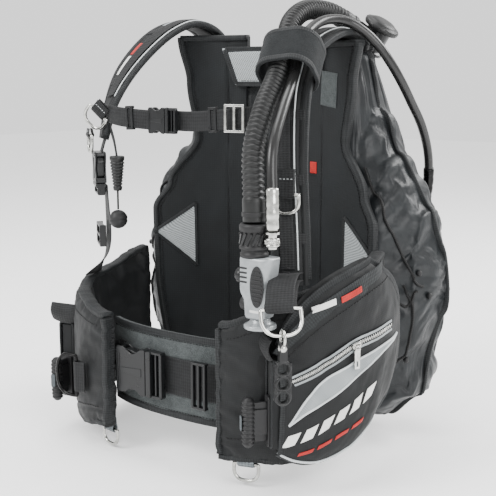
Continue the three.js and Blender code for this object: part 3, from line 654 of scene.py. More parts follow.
def laid_on(tree: BVHTree, path: Array, lift: float) -> Array:
    """A path's points moved to the nearest places on a settled surface, and lifted off it."""
    found = [tree.find_nearest(Vector(point * MM)) for point in path]
    spot = np.array([tuple(hit[0]) for hit in found]) / MM
    normal = np.array([tuple(hit[1]) for hit in found])
    smooth = np.ones(5) / 5
    padded = np.pad(spot + normal * lift, ((2, 2), (0, 0)), mode="edge")
    return np.stack([np.convolve(column, smooth, "valid") for column in padded.T], axis=1)


def surface_tree(obj: Mesh) -> BVHTree:
    """A search tree over a piece's own mesh."""
    mesh = obj.data
    return BVHTree.FromPolygons([v.co for v in mesh.vertices], [p.vertices for p in mesh.polygons])


def grounded(tree: BVHTree, points: Array) -> Array:
    """A grid's points moved to the nearest places on a settled surface."""
    flat = points.reshape(-1, 3)
    found = [tuple(tree.find_nearest(Vector(point * MM))[0]) for point in flat]
    return (np.array(found) / MM).reshape(points.shape)


# ----------------------------------------------------------------------------------------------
# Finishes
# ----------------------------------------------------------------------------------------------


WAVE_BAND = 2 * math.pi / 20  # a Wave texture of this scale has one band a unit


def linear(colour: str) -> tuple[float, float, float, float]:
    """A colour in linear light from its sRGB hex digits."""
    shares = np.array([int(colour[k : k + 2], 16) for k in (0, 2, 4)]) / 255
    light = np.where(shares <= 0.04045, shares / 12.92, ((shares + 0.055) / 1.055) ** 2.4)
    return (*light.tolist(), 1.0)


def feed(tree: bpy.types.NodeTree, made: bpy.types.Node, **inputs: object) -> None:
    """Sets or links inputs of a node, each named with underscores for spaces or by its number.

    Args:
        tree: The material's node tree.
        made: The node whose inputs they are.
        inputs: Values; an output socket becomes a link, and a node stands for its first output.
    """
    for name, value in inputs.items():
        found = made.inputs[int(name) if name.isdigit() else name.replace("_", " ")]
        if isinstance(value, bpy.types.Node):
            value = value.outputs[0]
        if isinstance(value, bpy.types.NodeSocket):
            tree.links.new(value, found)
        else:
            found.default_value = value


def node(tree: bpy.types.NodeTree, kind: str, **settings: object) -> bpy.types.Node:
    """Adds a shader node. Settings named in_X feed its input X; others set its properties.

    Args:
        tree: The material's node tree.
        kind: The node's type, without its ShaderNode prefix.
        settings: Values for its properties and inputs.

    Returns:
        The new node.
    """
    made = tree.nodes.new(f"ShaderNode{kind}")
    for key, value in settings.items():
        if key.startswith("in_"):
            feed(tree, made, **{key.removeprefix("in_"): value})
        else:
            setattr(made, key, value)
    return made


def principled(name: str) -> tuple[bpy.types.Material, bpy.types.NodeTree, bpy.types.Node]:
    """A new material with its node tree and its Principled shader."""
    material = bpy.data.materials.new(name)
    material.use_nodes = True
    tree = material.node_tree
    return material, tree, tree.nodes["Principled BSDF"]


def two_tone(tree: bpy.types.NodeTree, share: object, low: str, high: str) -> bpy.types.NodeSocket:
    """A colour between two, by a share from 0 to 1."""
    ramp = node(tree, "ValToRGB", in_Fac=share)
    for stop, colour, position in zip(ramp.color_ramp.elements, (low, high), (0.3, 0.72)):
        stop.color = linear(colour)
        stop.position = position
    return ramp.outputs["Color"]


@dataclass(frozen=True)
class Finish:
    """A finish that a piece can wear, and the name of its slot."""

    name: str
    slot: str

    def nodes(self, tree: bpy.types.NodeTree, shader: bpy.types.Node) -> None:
        """Adds the nodes of this finish to a material."""
        raise NotImplementedError

    def material(self) -> bpy.types.Material:
        """The finish's material, made the first time that it is asked for."""
        found = bpy.data.materials.get(self.name)
        if found:
            return found
        material, tree, shader = principled(self.name)
        self.nodes(tree, shader)
        return material


@dataclass(frozen=True)
class Cloth(Finish):
    """Woven cloth: crossed threads on its own map, with soft creases and a mottled shade."""

    dark: str = "131415"
    light: str = "1f2122"
    roughness: float = 0.6
    thread_mm: float = 2.6
    weave: float = 0.25
    crease_mm: float = 26
    crease: float = 0.3
    sheen: float = 0.03
    shine: float = 0.22

    def nodes(self, tree: bpy.types.NodeTree, shader: bpy.types.Node) -> None:
        """Two crossed waves make the weave, and a slow noise makes the creases and the shade."""
        place = node(tree, "TexCoord")
        bands = [
            node(
                tree, "TexWave", bands_direction=axis, in_Vector=place.outputs["UV"],
                in_Scale=WAVE_BAND / (self.thread_mm * MM), in_Distortion=0.4, in_Detail=1.0,
            ).outputs["Fac"]
            for axis in ("X", "Y")
        ]
        weave = node(tree, "Math", operation="MULTIPLY", in_0=bands[0], in_1=bands[1])
        slow = node(
            tree, "TexNoise", in_Vector=place.outputs["Object"],
            in_Scale=1 / (self.crease_mm * MM), in_Detail=5.0, in_Roughness=0.55, in_Distortion=0.6,
        ).outputs["Fac"]
        mottle = node(tree, "Math", operation="MULTIPLY", in_0=slow, in_1=0.75)
        shade = node(tree, "Math", operation="MULTIPLY_ADD", in_0=weave, in_1=0.35, in_2=mottle)
        fine = node(tree, "Bump", in_Strength=self.weave, in_Distance=0.4 * MM, in_Height=weave)
        deep = node(
            tree, "Bump", in_Strength=self.crease, in_Distance=3 * MM, in_Height=slow,
            in_Normal=fine,
        )
        rough = node(
            tree, "Math", operation="MULTIPLY_ADD", in_0=slow, in_1=0.2,
            in_2=self.roughness - 0.1,
        )
        feed(
            tree, shader, Base_Color=two_tone(tree, shade, self.dark, self.light), Normal=deep,
            Roughness=rough, Specular_IOR_Level=self.shine, Sheen_Weight=self.sheen,
            Sheen_Roughness=0.5,
        )


@dataclass(frozen=True)
class Napped(Finish):
    """Loop tape or fleece: a dense pile of short loops, and a patchy nap."""

    dark: str = "3a3d3d"
    light: str = "5a5e5d"
    loop_mm: float = 1.3
    depth: float = 0.6

    def nodes(self, tree: bpy.types.NodeTree, shader: bpy.types.Node) -> None:
        """Fine cells make the loops, and a slow noise brushes them lighter and darker."""
        place = node(tree, "TexCoord").outputs["Object"]
        loops = node(
            tree, "TexVoronoi", in_Vector=place, in_Scale=1 / (self.loop_mm * MM),
            in_Randomness=1.0,
        ).outputs["Distance"]
        nap = node(
            tree, "TexNoise", in_Vector=place, in_Scale=1 / (9 * MM), in_Detail=6.0,
            in_Roughness=0.7,
        ).outputs["Fac"]
        patchy = node(tree, "Math", operation="MULTIPLY", in_0=nap, in_1=0.7)
        share = node(tree, "Math", operation="MULTIPLY_ADD", in_0=loops, in_1=0.5, in_2=patchy)
        bump = node(tree, "Bump", in_Strength=self.depth, in_Distance=0.8 * MM, in_Height=loops)
        feed(
            tree, shader, Base_Color=two_tone(tree, share, self.dark, self.light), Normal=bump,
            Roughness=0.92, Specular_IOR_Level=0.12, Sheen_Weight=0.06, Sheen_Roughness=0.4,
        )


@dataclass(frozen=True)
class AirMesh(Finish):
    """Knitted spacer mesh: rows of small diamond holes over a dark ground."""

    dark: str = "060707"
    light: str = "1c1e1f"
    hole_mm: float = 3.2

    def nodes(self, tree: bpy.types.NodeTree, shader: bpy.types.Node) -> None:
        """Cells on the piece's own map, darkest and lowest at their middles."""
        cloth = node(tree, "TexCoord").outputs["UV"]
        turned = node(tree, "Mapping", in_Vector=cloth, in_Rotation=(0, 0, math.pi / 4))
        cells = node(
            tree, "TexVoronoi", in_Vector=turned, distance="CHEBYCHEV",
            in_Scale=1 / (self.hole_mm * MM), in_Randomness=0.0,
        ).outputs["Distance"]
        steep = node(tree, "Math", operation="MULTIPLY", in_0=cells, in_1=2.2)
        high = node(tree, "Math", operation="SMOOTH_MIN", in_0=steep, in_1=1.0, in_2=0.2)
        bump = node(tree, "Bump", in_Strength=0.7, in_Distance=0.9 * MM, in_Height=high)
        feed(
            tree, shader, Base_Color=two_tone(tree, high, self.dark, self.light), Normal=bump,
            Roughness=0.7, Specular_IOR_Level=0.15, Sheen_Weight=0.03,
        )


@dataclass(frozen=True)
class Webbing(Finish):
    """Woven strap: fine cross ribs with a few cords along it, and worn patches."""

    dark: str = "0b0b0c"
    light: str = "1d1e1f"
    rib_mm: float = 3.0
    cord_mm: float = 4.2

    def nodes(self, tree: bpy.types.NodeTree, shader: bpy.types.Node) -> None:
        """Ribs across the strap and cords along it, on the strap's own map."""
        cloth = node(tree, "TexCoord").outputs["UV"]
        ribs = node(
            tree, "TexWave", bands_direction="Y", in_Vector=cloth,
            in_Scale=WAVE_BAND / (self.rib_mm * MM), in_Distortion=1.2, in_Detail=1.0,
            in_Detail_Scale=1.5,
        ).outputs["Fac"]
        cords = node(
            tree, "TexWave", bands_direction="X", in_Vector=cloth,
            in_Scale=WAVE_BAND / (self.cord_mm * MM),
        ).outputs["Fac"]
        wear = node(
            tree, "TexNoise", in_Vector=cloth, in_Scale=1 / (14 * MM), in_Detail=4.0
        ).outputs["Fac"]
        height = node(tree, "Math", operation="MULTIPLY_ADD", in_0=cords, in_1=0.6, in_2=ribs)
        worn_share = node(tree, "Math", operation="MULTIPLY", in_0=wear, in_1=0.6)
        share = node(
            tree, "Math", operation="MULTIPLY_ADD", in_0=height, in_1=0.3, in_2=worn_share
        )
        bump = node(tree, "Bump", in_Strength=0.5, in_Distance=0.5 * MM, in_Height=height)
        feed(
            tree, shader, Base_Color=two_tone(tree, share, self.dark, self.light), Normal=bump,
            Roughness=0.62, Specular_IOR_Level=0.22, Sheen_Weight=0.04, Sheen_Roughness=0.35,
        )


@dataclass(frozen=True)
class Moulded(Finish):
    """Moulded plastic or rubber: a fine grain, painted edge highlights and painted hollow shade."""

    dark: str = "0d0d0e"
    light: str = "19191a"
    roughness: float = 0.38
    grain_mm: float = 0.7
    grain: float = 0.12
    metallic: float = 0.0
    coat: float = 0.0
    shine: float = 0.3

    def nodes(self, tree: bpy.types.NodeTree, shader: bpy.types.Node) -> None:
        """A fine noise makes the grain, a slow one the handling marks; edges get painted
        highlights, hollows painted shade.
        """
        place = node(tree, "TexCoord").outputs["Object"]
        grain = node(
            tree, "TexNoise", in_Vector=place, in_Scale=1 / (self.grain_mm * MM), in_Detail=2.0
        ).outputs["Fac"]
        marks = node(
            tree, "TexNoise", in_Vector=place, in_Scale=1 / (18 * MM), in_Detail=6.0,
            in_Roughness=0.65,
        ).outputs["Fac"]
        # Painted light: pointiness above 0.5 makes sharp edges paler as a painted highlight, and
        # below 0.5 makes hollows darker as painted shade.
        pointiness = node(tree, "NewGeometry").outputs["Pointiness"]
        edge = node(tree, "Math", operation="SUBTRACT", in_0=pointiness, in_1=0.5)
        edge_highlight_hollow_shade = node(tree, "Math", operation="MULTIPLY", in_0=edge, in_1=3.0)
        share = node(tree, "Math", operation="ADD", use_clamp=True, in_0=marks, in_1=edge_highlight_hollow_shade)
        rough = node(
            tree, "Math", operation="MULTIPLY_ADD", in_0=marks, in_1=0.22,
            in_2=self.roughness - 0.11,
        )
        bump = node(tree, "Bump", in_Strength=self.grain, in_Distance=0.15 * MM, in_Height=grain)
        feed(
            tree, shader, Base_Color=two_tone(tree, share, self.dark, self.light), Normal=bump,
            Roughness=rough, Metallic=self.metallic, Specular_IOR_Level=self.shine,
            Coat_Weight=self.coat, Coat_Roughness=0.2,
        )


@dataclass(frozen=True)
class Polished(Finish):
    """Polished stainless steel, with faint long scratches and water marks."""

    dark: str = "9c9c98"
    light: str = "cfcfcb"
    roughness: float = 0.16

    def nodes(self, tree: bpy.types.NodeTree, shader: bpy.types.Node) -> None:
        """A stretched noise makes the scratches, and a slow one clouds the shine."""
        place = node(tree, "TexCoord").outputs["Object"]
        stretched = node(tree, "Mapping", in_Vector=place, in_Scale=(1, 0.15, 1))
        scratch = node(
            tree, "TexNoise", in_Vector=stretched, in_Scale=1 / (0.5 * MM), in_Detail=3.0
        ).outputs["Fac"]
        cloud = node(
            tree, "TexNoise", in_Vector=place, in_Scale=1 / (7 * MM), in_Detail=5.0
        ).outputs["Fac"]
        rough = node(
            tree, "Math", operation="MULTIPLY_ADD", in_0=cloud, in_1=0.16,
            in_2=self.roughness - 0.08,
        )
        bump = node(tree, "Bump", in_Strength=0.05, in_Distance=0.05 * MM, in_Height=scratch)
        feed(
            tree, shader, Base_Color=two_tone(tree, cloud, self.dark, self.light), Normal=bump,
            Roughness=rough, Metallic=1.0,
        )


SHELL = Cloth("Nylon pack cloth, matt black", "shell_nylon", dark="0b0c0d", light="161819")
LINING = Cloth(
    "Nylon lining, soft black", "shell_nylon", dark="0d0e0f", light="191b1c", roughness=0.7,
    crease_mm=40,
)
PANEL = Cloth(
    "Laminated nylon, charcoal", "body_panel", dark="0f1112", light="1a1d1f", roughness=0.66,
    thread_mm=3.4, weave=0.3, crease_mm=60, crease=0.15,
)
WING = Cloth(
    "Coated nylon, satin charcoal", "wing_nylon", dark="0f1113", light="1c2022", roughness=0.4,
    thread_mm=2.0, weave=0.12, crease_mm=34, crease=0.7, shine=0.27,
)
GREY = Cloth(
    "Polyester cloth, silver grey", "grey_fabric", dark="73787a", light="959a9b", roughness=0.5,
    weave=0.35,
)
PALE = Cloth(
    "Polyester braid, pale grey", "grey_fabric", dark="a9adae", light="c6caca", roughness=0.5,
    weave=0.3,
)
RED = Cloth(
    "Polyester label, red", "grey_fabric", dark="8e1a17", light="b3231d", roughness=0.5, weave=0.3
)
WHITE = Cloth(
    "Polyester label, white", "grey_fabric", dark="c9c9c6", light="e2e2df", roughness=0.5, weave=0.3
)
BINDING = Webbing("Grosgrain binding, black", "webbing", dark="0f1011", light="222425", rib_mm=2.8)
STRAPPING = Webbing("Nylon webbing, black", "webbing")
DARK_BAND = Webbing(
    "Polyester band, charcoal", "webbing", dark="131415", light="232627", rib_mm=3.2
)
GREY_WEB = Webbing(
    "Nylon webbing, steel grey", "webbing", dark="474c4f", light="6c7275", rib_mm=3.2
)
LOOP_TAPE = Napped("Loop tape, slate", "loop_tape", dark="2b2e2f", light="474b4b")
DARK_LOOP = Napped("Loop tape, charcoal", "loop_tape", dark="121314", light="222425")
MESH_CLOTH = AirMesh("Spacer mesh, black", "pad_mesh")
GREY_MESH = AirMesh("Spacer mesh, grey", "grey_fabric", dark="3c4042", light="9da2a3", hole_mm=2.6)
GLOSS_PLASTIC = Moulded(
    "Acetal, semi-gloss black", "dark_plastic", dark="080809", light="141516", roughness=0.3
)
MATT_PLASTIC = Moulded("Nylon moulding, matt black", "black_plastic", roughness=0.5, grain=0.25)
SILVER = Moulded(
    "Painted plastic, silver grey", "silver_plastic", dark="6f7375", light="94989a",
    roughness=0.34, metallic=0.35, coat=0.3, shine=0.5,
)
RUBBER = Moulded(
    "Hose rubber, satin black", "hose_rubber", dark="0b0b0b", light="181919", roughness=0.42,
    grain=0.2,
)
SMOOTH_RUBBER = Moulded(
    "Hose rubber, smooth black", "hose_rubber", dark="0d0d0d", light="191919", roughness=0.3,
    grain=0.05, coat=0.2,
)
STEEL = Polished("Stainless steel, polished", "stainless_steel")
BLACK_STEEL = Polished(
    "Stainless steel, blackened", "black_plastic", dark="1a1a1a", light="2c2c2c", roughness=0.25
)
CORD = Webbing("Braided cord, black", "cord_nylon", dark="0c0c0c", light="242424", rib_mm=2.4)


def worn(
    obj: Mesh, finish: Finish, body: str = "vest", replaces: Sequence[str] = (),
) -> Mesh:
    """Gives a piece its finish, its body and the CAD nodes that it stands for.

    Args:
        obj: The finished piece.
        finish: What it is made of.
        body: The CAD body that it rides on.
        replaces: The CAD nodes that it hides.

    Returns:
        The same piece.
    """
    obj.data.materials.clear()
    obj.data.materials.append(finish.material())
    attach(obj, body)
    if replaces:
        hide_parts(*replaces)
    LOG.info("%s: %s, on %s", obj.name, finish.name, body)
    return obj


# ----------------------------------------------------------------------------------------------
# Camera, lights and floor
# ----------------------------------------------------------------------------------------------


@dataclass
class Studio:
    """The camera, the pale floor and the soft lights, in metres."""

    target: tuple[float, float, float] = (0.023, -0.16, 0.0)
    place: tuple[float, float, float] = (0.7755, -1.1957, 0.2257)
    lens: float = 69.9
    floor: float = -0.2655
    lit: tuple[float, float, float] = (0, -0.15, 0)
    floor_reach: float = 6.0

    @staticmethod
    def facing(place: Sequence[float], target: Sequence[float]) -> Sequence[float]:
        """The turn that points a camera or a lamp at a place to its target."""
        return (Vector(target) - Vector(place)).to_track_quat("-Z", "Y").to_euler()

    def camera(self) -> None:
        """Stands the camera where it sees the vest's left front from a little above."""
        data = bpy.data.cameras.new("camera")
        data.lens = self.lens
        data.sensor_width = 36
        camera = bpy.data.objects.new("camera", data)
        camera.location = self.place
        camera.rotation_euler = self.facing(self.place, self.target)
        bpy.context.scene.collection.objects.link(camera)
        bpy.context.scene.camera = camera

    def light(self, name: str, place: Sequence[float], size: float, power: float) -> None:
        """Adds a square soft light that faces the vest."""
        data = bpy.data.lights.new(name, "AREA")
        data.size = size
        data.energy = power
        lamp = bpy.data.objects.new(name, data)
        lamp.location = place
        lamp.rotation_euler = self.facing(place, self.lit)
        bpy.context.scene.collection.objects.link(lamp)

    def build(self) -> None:
        """Adds the lights, the pale surroundings and the floor."""
        self.light("key light", (-0.9, -1.9, 1.5), 1.1, 58)
        self.light("fill light", (2.1, -1.0, 0.9), 1.4, 46)
        self.light("rim light", (1.1, 1.6, 1.5), 1.0, 60)
        self.light("top light", (-0.3, -0.1, 2.2), 1.3, 38)
        world = bpy.data.worlds.new("pale room")
        world.use_nodes = True
        surroundings = world.node_tree.nodes["Background"]
        feed(world.node_tree, surroundings, Color=(1, 1, 1, 1), Strength=1.4)
        bpy.context.scene.world = world
        edge = self.floor_reach / MM
        corners = np.column_stack([oblong(-edge, edge, -edge, edge), np.full(4, self.floor / MM)])
        ground = new_mesh("floor", corners, [[0, 1, 2, 3]])
        material, tree, shader = principled("Paper, white")
        place = node(tree, "TexCoord").outputs["Object"]
        grain = node(tree, "TexNoise", in_Vector=place, in_Scale=40.0).outputs["Fac"]
        feed(
            tree, shader, Base_Color=two_tone(tree, grain, "fbfbfb", "fefefe"), Roughness=0.9,
            Emission_Color=(1, 1, 1, 1), Emission_Strength=0.12,
        )
        ground.data.materials.append(material)


# ----------------------------------------------------------------------------------------------
# Hoses, their band, the inflator and the shoulder valve
# ----------------------------------------------------------------------------------------------

AIR_HOSE_ROUTE = [
    [147, -318, 66], [145, -317, 100], [137, -306, 145], [128, -274, 190], [118, -234, 226],
    [111, -213, 249], [104, -192, 272], [94, -165, 295], [87, -125, 311], [86, -88, 314],
    [90, -60, 311], [99, -38.7, 301], [107, -28, 291],
]
FEED_HOSE_ROUTE = [
    [173, -320, 58], [172, -319, 90], [164, -308, 145], [152, -270, 190], [139, -228, 227],
    [132, -207, 250], [125, -186, 273], [122, -154, 291], [125, -124, 299], [135, -98, 297.5],
    [150, -80, 285], [164, -66, 267], [173, -50, 246], [178, -27, 221], [179, 2, 193],
    [180, 34, 160], [179, 58, 122], [176, 69, 84], [172, 70, 50],
]


@dataclass
class Hoses:
    """The ribbed air hose and the thin feed hose, which run together over the left shoulder."""

    air_radius: float = 13.2
    groove: float = 1.9
    pitch: float = 6.3
    cuff: float = 24
    feed_radius: float = 6.2

    def feed_hose(self) -> None:
        """A smooth round hose from the inflator's connector to the fitting behind the shoulder."""
        path = through(FEED_HOSE_ROUTE, 220)
        hose = worn(
            tube("feed_hose", path, self.feed_radius, 20), SMOOTH_RUBBER, replaces=["lp_hose"]
        )
        fitting = refined("feed_fitting", "lp_fitting", 0.5)
        worn(fitting, STEEL, replaces=["lp_fitting"])
        length_of(path) * MM
        for end, start, stop in (("front", 0, 16), ("rear", -17, -1)):
            place = path[start:stop]
            swell = self.feed_radius + 1.5 - 0.5 * (np.arange(len(place)) % 4 == 0)
            worn(
                tube(f"feed_ferrule_{end}", place, swell, 20),
                STEEL if end == "front" else BLACK_STEEL,
            )

    def air_hose(self) -> None:
        """Its radius follows a raised sine, and is plain in the cuffs at both ends."""
        path = through(AIR_HOSE_ROUTE, 640)
        run = np.linspace(0, length_of(path), len(path))
        wave = 0.5 + 0.5 * np.cos(run / self.pitch * 2 * math.pi)
        radius = self.air_radius - self.groove * (1 - wave**0.7)
        ends = np.minimum(run, run[-1] - run) < self.cuff
        radius = np.where(ends, self.air_radius + 0.2, radius)
        hose = worn(tube("air_hose", path, radius, 28), RUBBER, replaces=["corrugated_hose"])
        length_of(path) * MM
        for end, place in (("front", path[4:22]), ("rear", path[-22:-4])):
            worn(tube(f"hose_clamp_{end}", place[5:13], self.air_radius + 1.3, 28), MATT_PLASTIC)

    def build(self) -> None:
        """Makes both hoses."""
        self.feed_hose()
        self.air_hose()


@dataclass
class HoseBand:
    """The wide tape loop that holds both hoses to the left shoulder strap."""

    place: Place = Place((120, -205, 245), (0.97, 0.2, 0.11), (0.07, -0.72, 0.68))
    width: float = 74
    depth: float = 66
    height: float = 52
    thickness: float = 3.6
    corner: float = 26
    inset: float = 2

    def loop(self, name: str, height: float, thickness: float) -> Mesh:
        """A band whose rounded section is carried round the loop's outline."""
        shrink = self.inset
        flat = rounded_outline(
            self.width - 2 * shrink, self.depth - 2 * shrink, self.corner - shrink, 12
        )
        flat = np.vstack([flat, flat[:1]])
        run = run_along(flat)
        even = np.linspace(0, run[-1], 121)[:-1]
        outline = read_at(even, run, flat)
        path = self.place.put(np.column_stack([outline, np.zeros(len(outline))]))
        ahead = unit(np.roll(path, -1, axis=0) - np.roll(path, 1, axis=0))
        up = np.broadcast_to(self.place.axes()[2], path.shape)
        return sweep(
            name, path, up * height / 2, np.cross(ahead, up) * thickness, strap_profile(points=15),
            loop=True,
        )

    def build(self) -> None:
        """Makes the loop, its bound edges and its stitches."""
        worn(
            self.loop("hose_band_loop", self.height, self.thickness), DARK_LOOP,
            replaces=["hose_band"],
        )
        axis = self.place.axes()[2]
        for label, sign in (("upper", 1), ("lower", -1)):
            edge = self.loop(f"hose_band_binding_{label}", 7, self.thickness + 1.2)
            shift = Vector(axis * sign * (self.height / 2 - 3.2) * MM)
            edge.data.transform(Matrix.Translation(shift))
            worn(edge, BINDING)
        share = np.linspace(-0.28, 0.3, 30)
        level = np.full(30, -self.depth / 2 - 0.2)
        front = np.column_stack([share * self.width, level, np.zeros(30)])
        side = self.place.put(front)
        for label, offset in (("upper", 17), ("lower", -17)):
            line = stitches(
                f"hose_band_stitch_{label}", side + axis * offset, -self.place.axes()[1]
            )
            worn(line, PALE)


BUTTON_SEATS = {"inflate": (0.66, 0), "deflate": (0.2, 7)}  # share of the body's height, and inset


@dataclass
class Inflator:
    """The hand-held inflator: its body, cuff, slots, grip, buttons and mouthpiece."""

    x: float = 155
    y: float = -318
    top: float = 26
    bottom: float = -44
    width: float = 44
    depth: float = 30
    cuff_radius: float = 17.5
    cuff_height: float = 38
    cuff_offset: float = -8

    def body(self) -> None:
        """A loft of rounded sections: narrower at its foot, with a step below the upper button."""
        share = np.linspace(0, 1, 60)
        right = self.width / 2 - np.interp(share, [0, 0.5, 1], [10, 5.5, 0.5])
        left = -self.width / 2 + np.interp(share, [0, 0.3, 0.4, 0.46, 1], [8, 6, 1.5, 0, 0])
        deep = self.depth / 2 - np.interp(share, [0, 0.04, 0.96, 1], [1.2, 0, 0, 1.2])
        ring = circle(48)
        power = 2 / 4.5
        shape = np.sign(ring) * np.abs(ring) ** power
        middle, half = (right + left) / 2, (right - left) / 2
        x = self.x + middle[:, None] + half[:, None] * shape[None, :, 0]
        y = self.y + deep[:, None] * shape[None, :, 1]
        z = np.broadcast_to((self.bottom + share * (self.top - self.bottom))[:, None], x.shape)
        obj = loft("inflator_shell", np.stack([x, y, z], axis=-1))
        for height, inset in BUTTON_SEATS.values():
            centre = self.bottom + height * (self.top - self.bottom)
            seat = (self.x - self.width / 2 + inset, self.y, centre)
            carve(obj, lathe("bore", [(9.2, -9), (9.2, 7)], seat, (1, 0, 0), 32))
        worn(obj, SILVER, replaces=["inflator_body"])

    def cuff(self) -> None:
        """A turned collar with two lips, and slanted slots sunk round it."""
        origin = (self.x + self.cuff_offset, self.y, self.top)
        r, h = self.cuff_radius, self.cuff_height
        outline = [
            (r - 4, -1), (r - 1, 0), (r - 1, 4), (r - 2.4, 5), (r - 2.4, 8), (r, 9), (r, 12), (
                r - 1.4, 13
            ),
            (r - 1.4, h - 9), (r, h - 8), (r, h - 2), (r - 1.5, h), (r - 4, h),
        ]
        worn(lathe("inflator_cuff", outline, origin, (0, 0, 1), 48), MATT_PLASTIC)
        out = spokes(14)
        around = np.cross([0.0, 0, 1], out)
        centre = np.asarray(origin) + out * (r - 1.3) + [0, 0, 21]
        slant = unit(around * 0.55 + [0, 0, 1])
        across = np.cross(out, slant) * 3.4
        ribs = blocks("inflator_cuff_ribs", centre, slant * 15, across, 2.2)
        worn(rounded(ribs, 0.6), GLOSS_PLASTIC)

    def grip(self) -> None:
        """A dark oval pad with raised fins on each broad face, and slots beside the buttons."""
        for label, sign in (("front", -1), ("rear", 1)):
            face = Place(
                (self.x + 6, self.y + sign * (self.depth / 2 - 0.3), -6), (-sign, 0, 0), (0.1, 0, 1)
            )
            oval = circle(36) * [9.5, 24]
            worn(slab(f"inflator_grip_{label}", oval, 1.6, face, 0.7), MATT_PLASTIC)
            height = np.linspace(-17, 17, 8)
            half = 9.5 * np.sqrt(1 - (height / 24) ** 2) - 2.2
            centre = face.put(np.column_stack([np.zeros(8), height, np.full(8, 1.7)]))
            across = face.axes()[0] * (2 * half)[:, None]
            up = face.axes()[1]
            fins = blocks(f"inflator_fins_{label}", centre, across, up * 1.7, 1.8)
            worn(rounded(fins, 0.4), GLOSS_PLASTIC)
            slots = face.moved(-19, 20, -0.1)
            marks = slots.put(
                np.column_stack([np.zeros(4), np.linspace(0, -16, 4), np.full(4, 0.3)])
            )
            vents = blocks(f"inflator_vents_{label}", marks, face.axes()[0] * 10, up * 2.2, 0.6)
            worn(rounded(vents, 0.2), MATT_PLASTIC)
            band = slab(
                f"inflator_stripe_{label}", rounded_outline(17, 3, 1.2), 0.5,
                face.moved(-2, -29, -0.1), 0.2,
            )
            worn(band, WHITE)

    def buttons(self) -> None:
        """Two round buttons with dished faces, each on its own body."""
        for label in BUTTON_SEATS:
            low, high = (np.array(c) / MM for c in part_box(f"{label}_button"))
            centre = (low[0], (low[1] + high[1]) / 2, (low[2] + high[2]) / 2)
            deep = high[0] - low[0]
            outline = [
                (8.6, deep), (8.6, 1.3), (7.6, 0.1), (5.8, 0), (4.6, 0.7), (2, 1.1), (0.05, 1.2)
            ]
            turned = lathe(f"{label}_push", outline, centre, (1, 0, 0), 40)
            finish = GLOSS_PLASTIC if label == "inflate" else MATT_PLASTIC
            worn(turned, finish, f"{label}_button", [f"{label}_button"])

    def mouthpiece(self) -> None:
        """A flared foot with a rolled rim and a dark oval mouth."""
        r = 19
        outline = [
            (10.5, -0.4), (11.5, -2), (12.5, -5), (16, -7.5), (
                r - 0.8, -8.3
            ), (r, -9.4), (r, -12), (r - 1, -13),
            (r - 4, -13), (r - 5.5, -10), (6, -9.5), (0.05, -9.5),
        ]
        worn(
            lathe(
                "mouthpiece_flare", outline, (self.x, self.y, self.bottom), (0, 0, 1), 48
            ), SILVER,
            replaces=["mouthpiece"],
        )

    def connector(self) -> None:
        """The quick connector: a knurled lifting collar between two steel flanges."""
        x, y, z = FEED_HOSE_ROUTE[0]
        worn(refined("connector_core", "lp_connector", 0.4), STEEL, replaces=["lp_connector"])
        outline = [
            (5.8, -8), (7.8, -8), (8.6, -8.8), (
                8.6, -10.4
            ), (8, -10.8), (8, -15.2), (8.6, -15.6), (8.6, -17.2),
            (7.8, -18), (5.8, -18), (5.8, -8.01),
        ]
        ring = lathe("connector_collar", outline, (x, y, z), (0, 0, 1), 40)
        worn(ring, STEEL, "lp_collar", ["lp_collar"])
        out = spokes(26)
        centre = np.array([x, y, z - 13]) + out * 8.1
        knurl = blocks("connector_knurl", centre, [0, 0, 4.2], np.cross(out, [0, 0, 1]) * 1.1, 0.9)
        worn(knurl, STEEL, "lp_collar")

    def build(self) -> None:
        """Makes every piece of the inflator."""
        self.body()
        self.cuff()
        self.grip()
        self.buttons()
        self.mouthpiece()
        self.connector()


@dataclass
class ShoulderValve:
    """The elbow on top of the bladder, with its mushroom cap and its webbing tab."""

    origin: tuple[float, float, float] = (122, -8, 274)
    axis: tuple[float, float, float] = (0.57, 0, 0.82)

    def build(self) -> None:
        """Makes the elbow, the finned cap and the tab."""
        worn(
            refined("valve_elbow", "shoulder_elbow", 1.2, 3), GLOSS_PLASTIC,
            replaces=["shoulder_elbow"],
        )
        outline = [
            (10, 20.4), (
                19, 20.4
            ), (24, 22), (25, 24), (25, 27.5), (24, 28.8), (20, 29.6), (19, 31), (15, 33),
            (8, 33.4), (0.05, 33.4),
        ]
        worn(
            lathe("valve_mushroom", outline, self.origin, self.axis, 48), RUBBER,
            replaces=["valve_cap"],
        )
        up = unit(self.axis)
        side = unit(np.cross(up, [0, 1, 0]))
        other = np.cross(up, side)
        out = circle(16) @ np.stack([side, other])
        centre = np.asarray(self.origin) + out * 24.4 + up * 25.6
        grips = blocks("valve_ridges", centre, up * 4.6, np.cross(out, up) * 2.4, 1.5)
        worn(rounded(grips, 0.4), RUBBER)
        loop = through([[132, -38, 268], [126, -30, 262], [118, -34, 254], [112, -46, 250]], 24)
        half = np.tile([7.0, 5.0, 0.0], (24, 1))
        worn(ribbon("valve_tab", loop, half, 1.6), STRAPPING)


